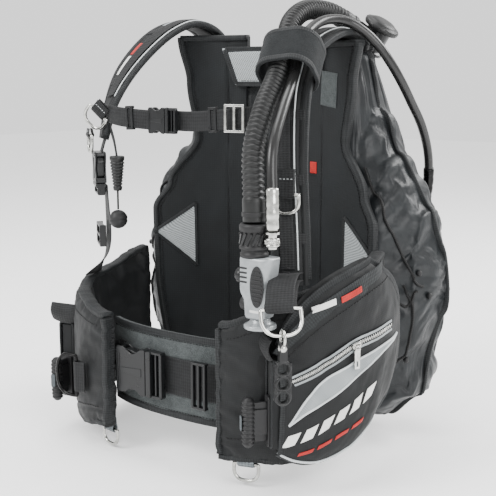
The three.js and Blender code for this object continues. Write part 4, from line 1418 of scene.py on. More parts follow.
@dataclass
class DumpPull:
    """The cone, cord and ball knob that open the shoulder dump valve."""

    origin: tuple[float, float, float] = (-118, -262, 78)

    def build(self) -> None:
        """Makes the ribbed cone, the cord as a thin tube, and the grooved ball."""
        outline = [(3, 0), (5, 0), (5.6, 1)]
        for step in np.linspace(4, 36, 9):
            grow = 5 + 5 * step / 46
            outline += [
                (grow + 0.7, step), (grow + 0.7, step + 1.6), (grow - 0.3, step + 2),
                (grow - 0.2, step + 3.4),
            ]
        outline += [(9.7, 41), (10, 45), (9, 46), (3, 46), (3, 0.01)]
        worn(
            lathe("dump_cone", outline, self.origin, (0, 0, 1), 32), RUBBER,
            replaces=["dump_sleeve"],
        )
        x, y, z = self.origin
        path = np.column_stack(
            [np.full(40, x), np.full(40, y), np.linspace(z + 45.2, z - 25.2, 40)]
        )
        line = tube("dump_line", path, 1.4, 10)
        worn(line, CORD, "dump_pull", ["dump_cord"])
        turn = np.linspace(math.pi / 2, -math.pi / 2, 30)
        ball = 12.5 * np.cos(turn) - 0.7 * (np.abs(np.sin(turn)) < 0.06) - 0.5 * (
            np.abs(np.sin(turn) - 0.55) < 0.05
        )
        knob = lathe(
            "dump_knob", np.column_stack(
                [np.maximum(ball, 0.05), 12.5 * np.sin(turn)]
            ), (x, y, z - 38.5), (0, 0, 1), 40
        )
        worn(knob, MATT_PLASTIC, "dump_pull", ["dump_ball"])
        length_of(path) * MM


# ----------------------------------------------------------------------------------------------
# Pieces that many sub-assemblies share
# ----------------------------------------------------------------------------------------------

Surface = Callable[[Array, Array, float], Array]


def smooth_route(route: Points, count: int) -> Array:
    """A smooth line through two-coordinate places on a surface, with a column of zeros."""
    return through(np.column_stack([np.asarray(route, float), np.zeros(len(route))]), count)


def patch(
    name: str, corners: Points, surface: Surface, thickness: float = 1.0, lift: float = 0.0,
    grid: int = 18,
) -> Mesh:
    """A thin patch sewn on a surface. Points inside its four corners are mixed by their shares.

    Args:
        name: The piece's name.
        corners: Four places on the surface, in order round the patch; two may be the same.
        surface: Sends two coordinates and a height off the surface to points.
        thickness: The patch's own thickness, at its middle.
        lift: How far off the surface its rear lies.
        grid: The number of grid points each way.

    Returns:
        The patch.
    """
    a, b, c, d = (np.asarray(corner, float) for corner in corners)

    def place(u: Array, v: Array, front: int) -> Array:
        u, v = u[..., None], v[..., None]
        spot = a * (1 - u) * (1 - v) + b * u * (1 - v) + c * u * v + d * (1 - u) * v
        edge = fullness(u[..., 0], 0.35) * fullness(v[..., 0], 0.35)
        return surface(spot[..., 0], spot[..., 1], lift + front * thickness * edge)

    return pillow(name, place, grid, grid)


def cord_on(
    name: str, route: Points, surface: Surface, radius: float, count: int = 90, lift: float = 0.0
) -> Mesh:
    """A round piping or cord laid on a surface, half sunk into it."""
    spots = smooth_route(route, count)
    path = surface(spots[:, 0], spots[:, 1], lift + radius * 0.4)
    return tube(name, path, radius, 10)


def tape_on(
    name: str, route: Points, surface: Surface, width: float, thickness: float = 1.2,
    count: int = 70, lift: float = 0.0,
) -> Mesh:
    """A flat tape laid along a route on a surface."""
    spots = smooth_route(route, count)
    path = surface(spots[:, 0], spots[:, 1], lift + thickness / 2)
    above = surface(spots[:, 0], spots[:, 1], lift + thickness / 2 + 1)
    ahead = unit(np.gradient(path, axis=0))
    return ribbon(name, path, unit(np.cross(above - path, ahead)) * width / 2, thickness)


def stitched_on(
    name: str, route: Points, surface: Surface, count: int = 90, lift: float = 0.0
) -> Mesh:
    """A line of stitches along a route on a surface."""
    spots = smooth_route(route, count)
    path = surface(spots[:, 0], spots[:, 1], lift)
    return stitches(name, path, unit(surface(spots[:, 0], spots[:, 1], lift + 1) - path))


def binding(
    name: str, edge: Array, out: Array, width: float, thickness: float, loop: bool = False
) -> Mesh:
    """A folded tape round an edge: a flat oval section whose width runs across the edge."""
    ahead = unit(np.gradient(edge, axis=0))
    if loop:
        ahead = unit(np.roll(edge, -1, axis=0) - np.roll(edge, 1, axis=0))
    out = unit(out - ahead * (out * ahead).sum(1, keepdims=True))
    return sweep(
        name, edge, out * width / 2, np.cross(ahead, out) * thickness, strap_profile(points=9), loop
    )


# ----------------------------------------------------------------------------------------------
# Back: pad, collar, side panels, plate and tank band
# ----------------------------------------------------------------------------------------------


@dataclass
class BackPad:
    """The padded back, with upright channels of spacer mesh, and the grey collar above it."""

    half_width: float = 52
    bottom: float = -200
    top: float = 262
    thickness: float = 24
    channels: int = 3

    def face(self, x: Array, z: Array, lift: float = 0.0) -> Array:
        """The front face: crowned across, with a valley between channels and a seam each 110 mm."""
        u = x / (2 * self.half_width) + 0.5
        crown = self.thickness * 0.25 * (1 - fullness(u, 0.3))
        valley = 4.2 * np.exp(-((((u * self.channels) % 1.0) - 0.0) ** 2) / 0.004)
        valley += 4.2 * np.exp(-((((u * self.channels) % 1.0) - 1.0) ** 2) / 0.004)
        cross = 2.6 * np.exp(-(((z - self.bottom) % 116.0 - 58) ** 2) / 14.0)
        inside = (u > 0.06) & (u < 0.94)
        y = PAD_FRONT + crown + np.where(inside, valley, 0) + cross - lift
        return np.stack(np.broadcast_arrays(x, y, z), axis=-1)

    def build(self) -> None:
        """Makes the pad, its stitched valleys, the mesh panel and the collar."""

        def place(u: Array, v: Array, front: int) -> Array:
            x = (2 * u - 1) * self.half_width
            z = self.bottom + (self.top - self.bottom) * v
            if front:
                return crumple(self.face(x, z), np.array([0, -1.0, 0]), 70, 0.9, 3)
            return np.stack([x, np.full_like(x, PAD_FRONT + self.thickness), z], axis=-1)

        worn(pillow("back_cushion", place, 90, 200), MESH_CLOTH, replaces=["back_pad"])
        rise = np.linspace(self.bottom + 8, self.top - 50, 12)
        for index in (1, 2):
            x = (2 * index / self.channels - 1) * self.half_width
            for side in (-1, 1):
                route = np.column_stack([np.full(12, x + side * 3.4), rise])
                worn(
                    stitched_on(
                        f"back_stitch_{index}_{'l' if side > 0 else 'r'}", route, self.face, 140
                    ),
                    CORD,
                )
        for side, label in ((-1, "right"), (1, "left")):
            route = np.column_stack([np.full(12, side * (self.half_width - 2)), rise])
            worn(tape_on(f"back_edge_{label}", route, self.face, 9, 1.6, 120), BINDING)
        self.collar()

    def collar(self) -> None:
        """A grey trapezoid over the shoulders' middle: wide above, narrow below, edges bound."""
        wide, taper, low, height, deep = 86, 20, 216, 52, 9

        def face(u: Array, v: Array, lift: float = 0.0) -> Array:
            x = (2 * u - 1) * (wide - taper * (1 - v))
            crown = deep * fullness(u, 0.5) * fullness(v, 0.55)
            return np.stack(
                np.broadcast_arrays(x, panel_face(x) - 0.4 - crown - lift, low + height * v),
                axis=-1,
            )

        def place(u: Array, v: Array, front: int) -> Array:
            if front:
                return face(u, v)
            x = (2 * u - 1) * (wide - taper * (1 - v))
            return np.stack([x, panel_face(x) - 0.4, low + height * v], axis=-1)

        worn(
            pillow("collar_cushion", place, 60, 36), GREY_MESH, replaces=["collar_pad"]
        )
        edge = [[0.03, 0.04], [0.03, 0.96], [0.97, 0.96], [0.97, 0.04], [0.03, 0.04]]
        for index, (start, stop) in enumerate(zip(edge[:-1], edge[1:])):
            route = np.linspace(start, stop, 6)
            worn(tape_on(f"collar_edge_{index}", route, face, 8, 1.2, 40, -0.3), BINDING)
        worn(
            stitched_on("collar_stitch", [[0.1, 0.12], [0.5, 0.11], [0.9, 0.12]], face, 60, 0.1),
            CORD,
        )


ARMHOLE = [[-196, 172], [-60, 184], [33, 186], [72, 166], [140, 127], [220, 138], [284, 150]]


@dataclass
class SidePanel:
    """One of the two panels beside the spine, from the hem to the shoulder, bound at its edge."""

    key: str
    side: int
    top: float
    bottom: float = -196
    inner: float = 52.4
    thickness: float = 12

    def face(self, x: Array, z: Array, lift: float = 0.0) -> Array:
        """The front face at a distance from the spine: it curls forward to the side."""
        out = np.abs(x)
        y = panel_face(out) - lift
        return np.stack(np.broadcast_arrays(self.side * out, y, z), axis=-1)

    def edge(self, inset: float, count: int = 120) -> Array:
        """Points along the armhole edge, as (distance from the spine, height)."""
        z = np.linspace(self.bottom, self.top, count)
        return np.column_stack([eased(ARMHOLE, z) - inset, z])

    def build(self) -> None:
        """Makes the panel, its tapes, seams, mesh insert and shoulder patch."""

        def place(u: Array, v: Array, front: int) -> Array:
            z = self.bottom + (self.top - self.bottom) * v
            x = self.inner + (eased(ARMHOLE, z) - self.inner) * u
            if front:
                dimple = 2.4 * (1 - fullness(u, 0.0)) + 2.4 * (1 - fullness(v, 0.0))
                seam = 1.6 * np.exp(-((x - 80) ** 2) / 5)
                body = self.face(x, z, -dimple - seam)
                return crumple(body, np.array([0, -1.0, 0]), 85, 1.3, 11 + self.side)
            return np.stack([self.side * x, panel_face(x) + self.thickness, z], axis=-1)

        key = self.key
        worn(
            pillow(f"panel_{key}", place, 70, 150), PANEL, replaces=[f"side_panel_{key}"],
        )
        edge = self.edge(1.5)
        path = self.face(edge[:, 0], edge[:, 1], -self.thickness / 2)
        out = np.column_stack(
            [np.full(len(edge), self.side * 1.0), np.zeros(len(edge)), np.zeros(len(edge))]
        )
        worn(binding(f"panel_binding_{key}", path, out, 9, self.thickness + 2.6), BINDING)
        worn(stitched_on(f"panel_stitch_{key}", self.edge(9, 30), self.face, 220, 0.3), CORD)
        worn(
            stitched_on(
                f"panel_seam_{key}", [[80, self.bottom + 8], [80, 20], [80, self.top - 12]],
                self.face, 160, -1.2,
            ),
            CORD,
        )
        top_edge = np.column_stack(
            [np.linspace(self.inner, eased(ARMHOLE, self.top), 20), np.full(20, self.top - 1.5)]
        )
        rim = self.face(top_edge[:, 0], top_edge[:, 1], -self.thickness / 2)
        up = np.tile([0, 0, 1.0], (20, 1))
        worn(binding(f"panel_top_binding_{key}", rim, up, 9, self.thickness + 2.4), BINDING)
        corners = [[128, 42], [127, -52], [186, -2], [186, -1]]
        worn(patch(f"panel_insert_{key}", corners, self.face, 1.4, 0.1), GREY_MESH)
        outline = [[128, 42], [127, -52], [186, -2], [128, 42]]
        for index, (start, stop) in enumerate(zip(outline[:-1], outline[1:])):
            worn(
                tape_on(
                    f"panel_insert_tape_{key}_{index}", np.linspace(start, stop, 5), self.face, 5,
                    1.6, 30, 0.3,
                ),
                BINDING,
            )
        if self.side > 0:
            shoulder = [[78, 190], [108, 186], [110, 232], [80, 236]]
            worn(patch("shoulder_loop_patch", shoulder, self.face, 2.0, 0.2), LOOP_TAPE)
            worn(
                patch(
                    "spine_label", [[60, 96], [72, 96], [72, 112], [60, 112]], self.face, 1.0, 0.2
                ),
                RED,
            )


@dataclass
class TankHold:
    """The hidden rear: the backplate, its ribs and screws, the tank band, buckle and handle."""

    def plate(self) -> None:
        """The moulded plate, with raised ribs, grip strips and round screw heads."""
        worn(refined("plate_shell", "backplate", 1.6, 3), GLOSS_PLASTIC, replaces=["backplate"])
        height = np.linspace(-128, 168, 14)
        height = height[np.abs(height) > 40]
        count = len(height)
        for label, x in (("left", 58), ("right", -58)):
            centre = np.column_stack([np.full(count, x), np.full(count, 0.5), height])
            strips = blocks(f"plate_ribs_{label}", centre, [22, 0, 0], [0, 0, 5], 1.4)
            worn(rounded(strips, 0.5), MATT_PLASTIC)
        outline = [(4.8, -0.4), (4.8, 0.4), (4, 1), (2.2, 1.1), (1.6, 0.4), (0.05, 0.3)]
        screws = [
            lathe("screw", outline, (x, 0, z), (0, 1, 0), 24)
            for x in (-30, 30) for z in (-110, -60, 60, 120)
        ]
        worn(joined("plate_screws", screws), STEEL)

    def band(self) -> None:
        """The tank band's webbing, its stitches, and the cam buckle with its lever."""
        loop = refined("band_webbing", "tank_band", 0.6)
        mesh = loop.data
        layer = mesh.uv_layers.new(name="cloth")
        corner = np.zeros(len(mesh.loops), np.int32)
        mesh.loops.foreach_get("vertex_index", corner)
        co = np.zeros(len(mesh.vertices) * 3, np.float32)
        mesh.vertices.foreach_get("co", co)
        co = co.reshape(-1, 3)[corner]
        angle = np.unwrap(np.arctan2(co[:, 0], co[:, 1] - 0.095))
        layer.data.foreach_set(
            "uv", np.column_stack([co[:, 2], angle * 0.095]).astype(np.float32).ravel()
        )
        worn(loop, STRAPPING, replaces=["tank_band"])
        for label, z in (("upper", 20), ("lower", -20)):
            angle = np.linspace(math.radians(30), math.radians(75), 40)
            path = np.column_stack(
                [95.7 * np.sin(angle), 95 + 95.7 * np.cos(angle), np.full(40, z)]
            )
            out = np.column_stack([np.sin(angle), np.cos(angle), np.zeros(40)])
            worn(stitches(f"band_stitch_{label}", path, out), PALE)
        worn(refined("cam_frame", "cam_buckle", 1.2, 3), GLOSS_PLASTIC, replaces=["cam_buckle"])
        worn(refined("cam_blade", "cam_lever", 1.0, 3), MATT_PLASTIC, "cam_lever", ["cam_lever"])
        high = np.array(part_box("cam_lever")[1]) / MM
        count = 6
        centre = np.column_stack([
            np.linspace(
                high[0] - 22, high[0] - 4, count
            ), np.full(count, high[1] - 0.9), np.zeros(count)
        ])
        ridges = blocks("cam_ridges", centre, [0, 0, 34], [1.6, 0, 0], 1.6)
        worn(rounded(ridges, 0.4), MATT_PLASTIC, "cam_lever")

    def handle(self) -> None:
        """A rubber-sleeved webbing handle arched over the plate's grip slot."""
        span, rise, width, thickness = 62, 26, 26, 5
        z = 228 - 11 - thickness
        share = np.array([-1, -0.8, -0.35, 0.35, 0.8, 1.0])
        out = np.where(np.abs(share) > 0.9, 0, np.sqrt(np.cos(share * math.pi / 2)))
        places = np.column_stack(
            [share * span, thickness / 2 + 0.4 + rise * out, np.full(6, z - width / 2)]
        )
        path = through(places, 80, even=False)
        half = np.tile([0, 0, width / 2], (80, 1))
        worn(
            ribbon("handle_strap", path, half, thickness, strap_profile(points=17)), STRAPPING,
            replaces=["carry_handle"],
        )
        grip = slice(26, 54)
        worn(
            ribbon(
                "handle_grip", path[grip], half[grip] * 1.06, thickness + 2.4,
                strap_profile(0.8, 17),
            ),
            RUBBER,
        )

    def build(self) -> None:
        """Makes the plate, band and handle."""
        self.plate()
        self.band()
        self.handle()


BLADDER_BOTTOM = [[0, -148], [78, -160], [112, -226], [170, -238], [215, -204], [242, -80]]
BLADDER_TOP = [[0, 250], [70, 260], [126, 260], [144, 180], [176, 124], [224, 52], [242, -20]]
BLADDER_FRONT = [[0, 0], [66, 0], [92, -18], [130, -36], [190, -63], [226, -34], [242, 26]]
BLADDER_REAR = [[0, 10], [78, 10], [112, 40], [160, 82], [205, 76], [242, 34]]


@dataclass
class AirBladder:
    """The winged air bladder behind the vest, gathered at its bound rim, with elastic cords."""

    half_width: float = 242
    pinch: float = 0.25
    behind_pad: float = -33.6

    def shape(self, x: Array, v: Array, front: float) -> Array:
        """A point across, up and through the bladder; v runs from its lower to its upper rim."""
        reach = np.abs(x)
        bottom = eased(BLADDER_BOTTOM, reach)
        z = bottom + (eased(BLADDER_TOP, reach) - bottom) * v
        near, far = eased(BLADDER_FRONT, reach), eased(BLADDER_REAR, reach)
        middle = (near + far) / 2
        soft = np.where(reach < 92, 1, fullness(v, self.pinch))
        y = self.behind_pad + middle + (front * near + (1 - front) * far - middle) * soft
        return np.stack(np.broadcast_arrays(x, y, z), axis=-1)

    def folds(self, points: Array, front: int) -> Array:
        """Gathers that fan in from the rim and long soft creases, deepest on the wings."""
        x, z = points[..., 0], points[..., 2]
        wing = np.clip((np.abs(x) - 95) / 60, 0, 1)
        angle = np.arctan2(z + 20, np.abs(x) - 120)
        gather = np.sin(angle * 17 + 1.4 * np.sin(angle * 5 + 1)) * np.clip(
            (np.hypot(np.abs(x) - 120, z + 20) - 60) / 120, 0, 1
        )
        normal = np.zeros_like(points)
        normal[..., 1] = 1 if not front else -1
        normal[..., 0] = np.sign(x) * 0.6 * wing
        creased = crumple(points, unit(normal) * wing[..., None], 95, 4.6, 21 + front)
        creased = crumple(creased, unit(normal) * wing[..., None], 31, 1.5, 25 + front)
        return creased + unit(normal) * (gather * wing * 2.6)[..., None]

    def build(self) -> None:
        """Makes the bladder, its rim tape, the elastic cords and their ties."""

        def place(u: Array, v: Array, front: int) -> Array:
            x = (2 * u - 1) * self.half_width
            return self.folds(self.shape(x, v, front), front)

        shell = settled(pillow("bladder_shell", place, 170, 90), 170, 90, 7.0, 4.0, 0.05)
        smooth = shell.modifiers.new("smooth", "SUBSURF")
        smooth.levels = smooth.render_levels = 1
        tree = surface_tree(shell)
        worn(shell, WING, replaces=["air_bladder"])
        self.rim()
        self.cords(tree)

    def surface(self, x: Array, v: Array, lift: float, front: float) -> Array:
        """The bladder's skin, with its folds, a little outside it."""
        base = self.shape(x, v, front)
        skin = self.folds(base, 1 if front > 0.5 else 0)
        away = np.zeros_like(skin)
        away[..., 1] = -1 if front > 0.5 else 1
        away[..., 0] = np.sign(x) * 0.8
        return skin + unit(away) * lift

    def rim(self) -> None:
        """Ribbed tape round each wing's outer edge, carried along both rims."""
        for label, side in SIDES.items():
            upper = np.linspace(100, self.half_width - 1, 90)
            lower = upper[::-1]
            top = self.shape(side * upper, np.ones(90), 0.5)
            low = self.shape(side * lower, np.zeros(90), 0.5)
            path = through(np.vstack([top, low])[::3], 240)
            middle = path.mean(axis=0)
            out = unit(path - middle) * [1, 0.2, 1]
            worn(binding(f"bladder_rim_{label}", path, out, 10, 5.5), BINDING)

    def cords(self, tree: BVHTree) -> None:
        """Elastic cords laced flat over both faces of each wing, with ties at its rim."""
        for label, side in SIDES.items():
            lines = {
                "outer": [
                    [150, 0.82], [186, 0.84], [216, 0.72], [232, 0.5], [228, 0.3], [205, 0.18]
                ],
                "middle": [[206, 0.66], [178, 0.55], [150, 0.5], [128, 0.46]],
                "low": [[214, 0.36], [180, 0.3], [146, 0.27], [126, 0.3]],
            }
            for name, line in lines.items():
                spots = smooth_route(np.asarray(line) * [1, 200], 120)
                path = laid_on(
                    tree, self.surface(side * spots[:, 0], spots[:, 1] / 200, 1.4, 0.0), 1.2
                )
                worn(tube(f"bladder_cord_{name}_{label}", path, 1.7, 8), CORD)
            front = {
                "high": [[150, 0.84], [182, 0.86], [214, 0.74], [231, 0.52]],
                "mid": [[214, 0.62], [224, 0.45], [222, 0.32], [206, 0.2]],
                "tie": [[186, 0.5], [208, 0.52], [229, 0.5]],
            }
            for name, line in front.items():
                spots = smooth_route(np.asarray(line) * [1, 200], 100)
                path = laid_on(
                    tree, self.surface(side * spots[:, 0], spots[:, 1] / 200, 1.4, 1.0), 1.2
                )
                worn(tube(f"bladder_lace_{name}_{label}", path, 1.7, 8), CORD)
            ties = np.array([[229.0, 0.62], [233, 0.42], [219, 0.2]])
            centre = laid_on(
                tree, self.surface(side * ties[:, 0], ties[:, 1], 3.0, 1.0).repeat(5, 0), 2.4
            )[2::5]
            balls = [
                lathe(
                    "tie", [(0.05, -4), (2.6, -3.4), (3.8, -1), (3.8, 1), (2.6, 3.4), (0.05, 4)], c,
                    (0, 0, 1), 20,
                )
                for c in centre
            ]
            worn(joined(f"bladder_ties_{label}", balls), MATT_PLASTIC)


# ----------------------------------------------------------------------------------------------
# Buckles, sliders and rings
# ----------------------------------------------------------------------------------------------


@dataclass(frozen=True)
class SideRelease:
    """A side-release buckle: its socket's mouth is at the place's origin, and opens towards -X."""

    key: str
    place: Place
    length: float
    width: float
    depth: float
    bar: float
    node: str = ""

    def waist_line(self, share: Array, pinch: float) -> Array:
        """Half the socket's width along it: full at both ends and drawn in between."""
        return self.width / 2 * (
            1 - pinch * np.sin(np.clip((share - 0.14) / 0.62, 0, 1) * math.pi) ** 1.4
        )

    def socket(self) -> Mesh:
        """Two shaped plates, a rear block with two webbing bars, side rails and a raised spine."""
        share = np.linspace(0, 1, 22)
        half = self.waist_line(share, 0.24)
        half[-1] -= 2.2
        half[0] -= 1.0
        edge = np.column_stack([share * self.length, half])
        outline = np.vstack([edge, (edge * [1, -1])[::-1]])
        skin = 2.3
        top = slab("top", outline, skin, self.place, 0.9, self.depth / 2 - skin)
        low = slab("low", outline, skin, self.place, 0.9, -self.depth / 2)
        back = self.length * 0.86
        block = [[back, -self.width / 2 + 1.4], [self.length - 0.6, -self.width / 2 + 2.4],
                 [self.length - 0.6, self.width / 2 - 2.4], [back, self.width / 2 - 1.4]]
        rear = slab("rear", block, self.depth - 1.2, self.place, 1.2, -self.depth / 2 + 0.6)
        rails = []
        for sign in (-1, 1):
            far, edge = self.length * 0.17, self.width / 2
            rail = [
                [0.3, sign * (edge - 2.2)], [far, sign * (edge - 2.2)],
                [far, sign * (edge - 0.2)], [0.3, sign * (edge - 0.7)],
            ]
            rails.append(
                slab("rail", rail, self.depth - 1.2, self.place, 0.5, -self.depth / 2 + 0.6)
            )
        spine = [[self.length * 0.12, -self.width * 0.09], [self.length * 0.8, -self.width * 0.05],
                 [self.length * 0.8, self.width * 0.05], [self.length * 0.12, self.width * 0.09]]
        ridge = slab("spine", spine, 0.9, self.place, 0.4, self.depth / 2 - 0.2)
        bars = [
            slab(
                "bar", oblong(x, x + 1.6, -self.width * 0.36, self.width * 0.36), 0.8, self.place,
                0.3, self.depth / 2 - 0.1,
            )
            for x in (self.length * 0.87, self.length * 0.94)
        ]
        return joined(f"{self.key}_clasp_socket", [top, low, rear, *rails, ridge, *bars])

    def plug(self) -> Mesh:
        """Two sprung arms and a guide within the socket, on a base with webbing bars."""
        inner = self.width / 2 - 3.1
        thick = self.depth - 5.8
        reach = self.length - 6
        pieces = []
        for sign in (-1, 1):
            share = np.linspace(0, 1, 16)
            x = -2 + share * (reach + 2)
            swell = np.sin(np.clip(share / 0.8, 0, 1) * math.pi / 2) ** 2
            outer = inner * (0.8 + 0.2 * swell) - 3.2 * np.clip((share - 0.8) / 0.2, 0, 1)
            inside = outer - inner * (0.34 - 0.1 * share)
            outline = np.vstack(
                [np.column_stack([x, sign * outer]), np.column_stack([x, sign * inside])[::-1]]
            )
            pieces.append(slab("arm", outline, thick, self.place, 0.7, -thick / 2))
        guide = [
            [-2, -inner * 0.16], [reach * 0.86, -inner * 0.1], [reach * 0.86, inner * 0.1],
            [-2, inner * 0.16],
        ]
        pieces.append(slab("guide", guide, thick, self.place, 0.5, -thick / 2))
        bar, half = self.bar, self.width / 2
        front = [
            [-0.7, -half + 0.6], [-0.7, half - 0.6], [-bar * 0.34, half - 0.2],
            [-bar * 0.34, -half + 0.2],
        ]
        rear = [
            [-bar * 0.82, -half + 0.4], [-bar * 0.82, half - 0.4], [-bar, half - 2.4],
            [-bar, -half + 2.4],
        ]
        middle = [
            [-bar * 0.54, -half + 1], [-bar * 0.54, half - 1], [-bar * 0.64, half - 1],
            [-bar * 0.64, -half + 1],
        ]
        pieces.append(
            slab("front", front, self.depth - 0.4, self.place, 1.1, -self.depth / 2 + 0.2)
        )
        pieces.append(slab("rear", rear, self.depth * 0.62, self.place, 1.0, -self.depth * 0.31))
        pieces.append(slab("middle", middle, self.depth * 0.5, self.place, 0.6, -self.depth * 0.25))
        for sign in (-1, 1):
            near, far = sign * (half - 3.6), sign * (half - 0.4)
            rail = [[-1, near], [-1, far], [-bar + 1, far], [-bar + 1, near]]
            pieces.append(slab("rail", rail, self.depth * 0.7, self.place, 0.8, -self.depth * 0.35))
        return joined(f"{self.key}_clasp_plug", pieces)

    def build(self) -> None:
        """Makes both halves; the plug rides on its own body."""
        node_name = self.node or self.key
        worn(self.socket(), GLOSS_PLASTIC, replaces=[f"{node_name}_socket"])
        worn(self.plug(), GLOSS_PLASTIC, f"{self.key}_plug", [f"{node_name}_plug"])


def ladder(
    name: str, place: Place, length: float, height: float, depth: float, bars: int = 3
) -> Mesh:
    """A slider: two side rails joined by bars, with the slots that the webbing threads between."""
    pieces = []
    for sign in (-1, 1):
        y = sign * (height / 2 - 1.6)
        rail = oblong(-length / 2, length / 2, y - 1.6, y + 1.6)
        pieces.append(slab("rail", rail, depth, place, 0.9, -depth / 2))
    for x in np.linspace(-length / 2 + 1.7, length / 2 - 1.7, bars):
        bar = oblong(x - 1.7, x + 1.7, -height / 2 + 1, height / 2 - 1)
        pieces.append(slab("bar", bar, depth * 0.8, place, 0.9, -depth * 0.3))
    return joined(name, pieces)


class Tab(Enum):
    """The colour of the webbing tab that holds a ring."""

    BLACK = "black"
    GREY = "grey"
    NONE = "none"


@dataclass(frozen=True)
class DRing:
    """A bent D-ring on its tab: its bar lies on the place's X, and its bow hangs towards -Y."""

    key: str
    place: Place
    span: float
    reach: float
    tab: Tab = Tab.BLACK
    tab_length: float = 22
    wire: float = 4.6
    kick: float = 0.0

    def outline(self, count: int = 96) -> Array:
        """The wire's middle line: flat beside the bar, elliptic at the bow, kicked out of plane."""
        turn = np.linspace(0, 2 * math.pi, count, endpoint=False)
        cosine, sine = np.cos(turn), np.sin(turn)
        half = (self.span + self.wire) / 2
        x = half * np.sign(cosine) * np.abs(cosine) ** 0.72
        upper = 0.35 * self.reach * np.abs(sine) ** 0.1
        lower = -0.65 * self.reach * np.abs(sine) ** 0.95
        y = -0.35 * self.reach + np.where(sine > 0, upper, lower)
        z = self.kick * np.clip(-y / self.reach - 0.35, 0, 1) ** 1.5
        return np.column_stack([x, y, z])

    def build(self) -> None:
        """Makes the ring, on its own body, and the sewn loop of webbing round its bar."""
        node_name = f"ring_{self.key}"
        finish = BLACK_STEEL if self.key == "front_right" else STEEL
        ring = tube(
            node_name + "_wire", self.place.put(self.outline()), self.wire / 2, 16, loop=True
        )
        worn(ring, finish, node_name, [node_name])
        if self.tab is Tab.NONE:
            return
        roll = self.wire / 2 + 1.5
        far = self.tab_length
        section = [
            [0, far, -roll * 0.55], [0, far * 0.5, -roll * 0.7], [0, 0, -roll], [0, -roll, 0],
            [0, 0, roll], [0, far * 0.5, roll * 0.7], [0, far, roll * 0.55],
        ]
        path = through(self.place.put(section), 60)
        half = np.tile(self.place.axes()[0] * self.span * 0.4, (60, 1))
        worn(
            ribbon(f"ring_{self.key}_tab", path, half, 1.6),
            GREY_WEB if self.tab is Tab.GREY else STRAPPING,
        )
        reach, height, lift = self.span * 0.34, far * 0.62, roll * 0.65 + 0.9
        seam = self.place.put([[-reach, height, lift], [reach, height, lift]])
        path = np.linspace(seam[0], seam[1], 12)
        worn(stitches(f"ring_{self.key}_stitch", path, self.place.axes()[2], 2.4, 1.2, 0.6), PALE)


@dataclass
class Rings:
    """The seven rings, and the retainer clip that hangs from the large one in front."""

    def build(self) -> None:
        """Makes the rings, their tabs and the clip."""
        rings = [
            DRing(
                "shoulder_right", Place((-158, -254, 180), (0.64, 0.3, -0.7), (1, 0, 0.6)), 27, 24,
                tab_length=16,
            ),
            DRing(
                "shoulder_low", Place((-167, -262, 150), (0.8, -0.6, 0), (0, 0, 1)), 27, 23,
                tab_length=9,
            ),
            DRing(
                "shoulder_left", Place((155, -266, 92), (0.9, 0.4, 0), (0, 0, 1)), 25, 22,
                tab_length=30,
            ),
            DRing(
                "hem_right", Place((-103, -302, -239), (1, -0.2, 0), (0, 0, 1)), 27, 22, Tab.GREY,
                16,
            ),
            DRing(
                "hem_left", Place((122, -300, -236), (1, 0.3, 0), (0, 0, 1)), 27, 22, Tab.GREY, 16
            ),
            DRing(
                "front_right", Place((-142, -324, -168), (0, 0, 1), (1, 0.1, 0)), 52, 34,
                tab_length=15,
            ),
            DRing(
                "front_left", Place((198, -340, -24), (0.63, 0.77, 0), (-0.3, 0.25, 1)), 42, 30,
                Tab.NONE,
            ),
        ]
        for ring in rings:
            ring.build()
        worn(
            refined("clip_plate", "retainer_clip", 1.3, 3), GLOSS_PLASTIC, "retainer_clip",
            ["retainer_clip"],
        )
        place = Place((206, -347, -59), (0.63, 0.77, 0), (0, 0, 1))
        eyes = []
        for height in (-30, -47, -63):
            for face in (-2.6, 2.6):
                spots = circle(40) * 8 + [0, height]
                ring = place.put(np.column_stack([spots, np.full(40, face)]))
                eyes.append(tube("eye", ring, 1.7, 10, loop=True))
        worn(joined("clip_hooks", eyes), GLOSS_PLASTIC, "retainer_clip")
        turn = circle(40)
        link = place.put(np.column_stack([np.zeros(40), 4.4 + 9 * turn[:, 1], 8.6 * turn[:, 0]]))
        outline = [(0.05, -10), (4.6, -9), (5.6, -5), (4.4, -1), (0.05, 0)]
        swivel = lathe("swivel", outline, place.put([0, -2, 0]), (0, 0, 1), 24)
        link = joined("clip_link", [tube("link", link, 1.5, 10, loop=True), swivel])
        worn(link, STEEL, "retainer_clip")
        self.hanger()

    def hanger(self) -> None:
        """The webbing from the strap's lower end that carries the large left ring."""
        route = [
            [167, -274, 1], [178, -302, 4], [189, -326, -3], [195, -337, -14], [198.5, -343.5, -24],
            [
                199.5, -339.5, -28.5
            ], [196, -334, -23], [189, -322, -12], [178, -300, -5], [167, -274, -8],
        ]
        path = through(route, 120)
        half = np.tile(unit([0.63, 0.77, 0]) * 17, (120, 1))
        worn(ribbon("ring_front_left_hanger", path, half, 1.7), STRAPPING)


# ----------------------------------------------------------------------------------------------
# Shoulder straps and sternum strap
# ----------------------------------------------------------------------------------------------


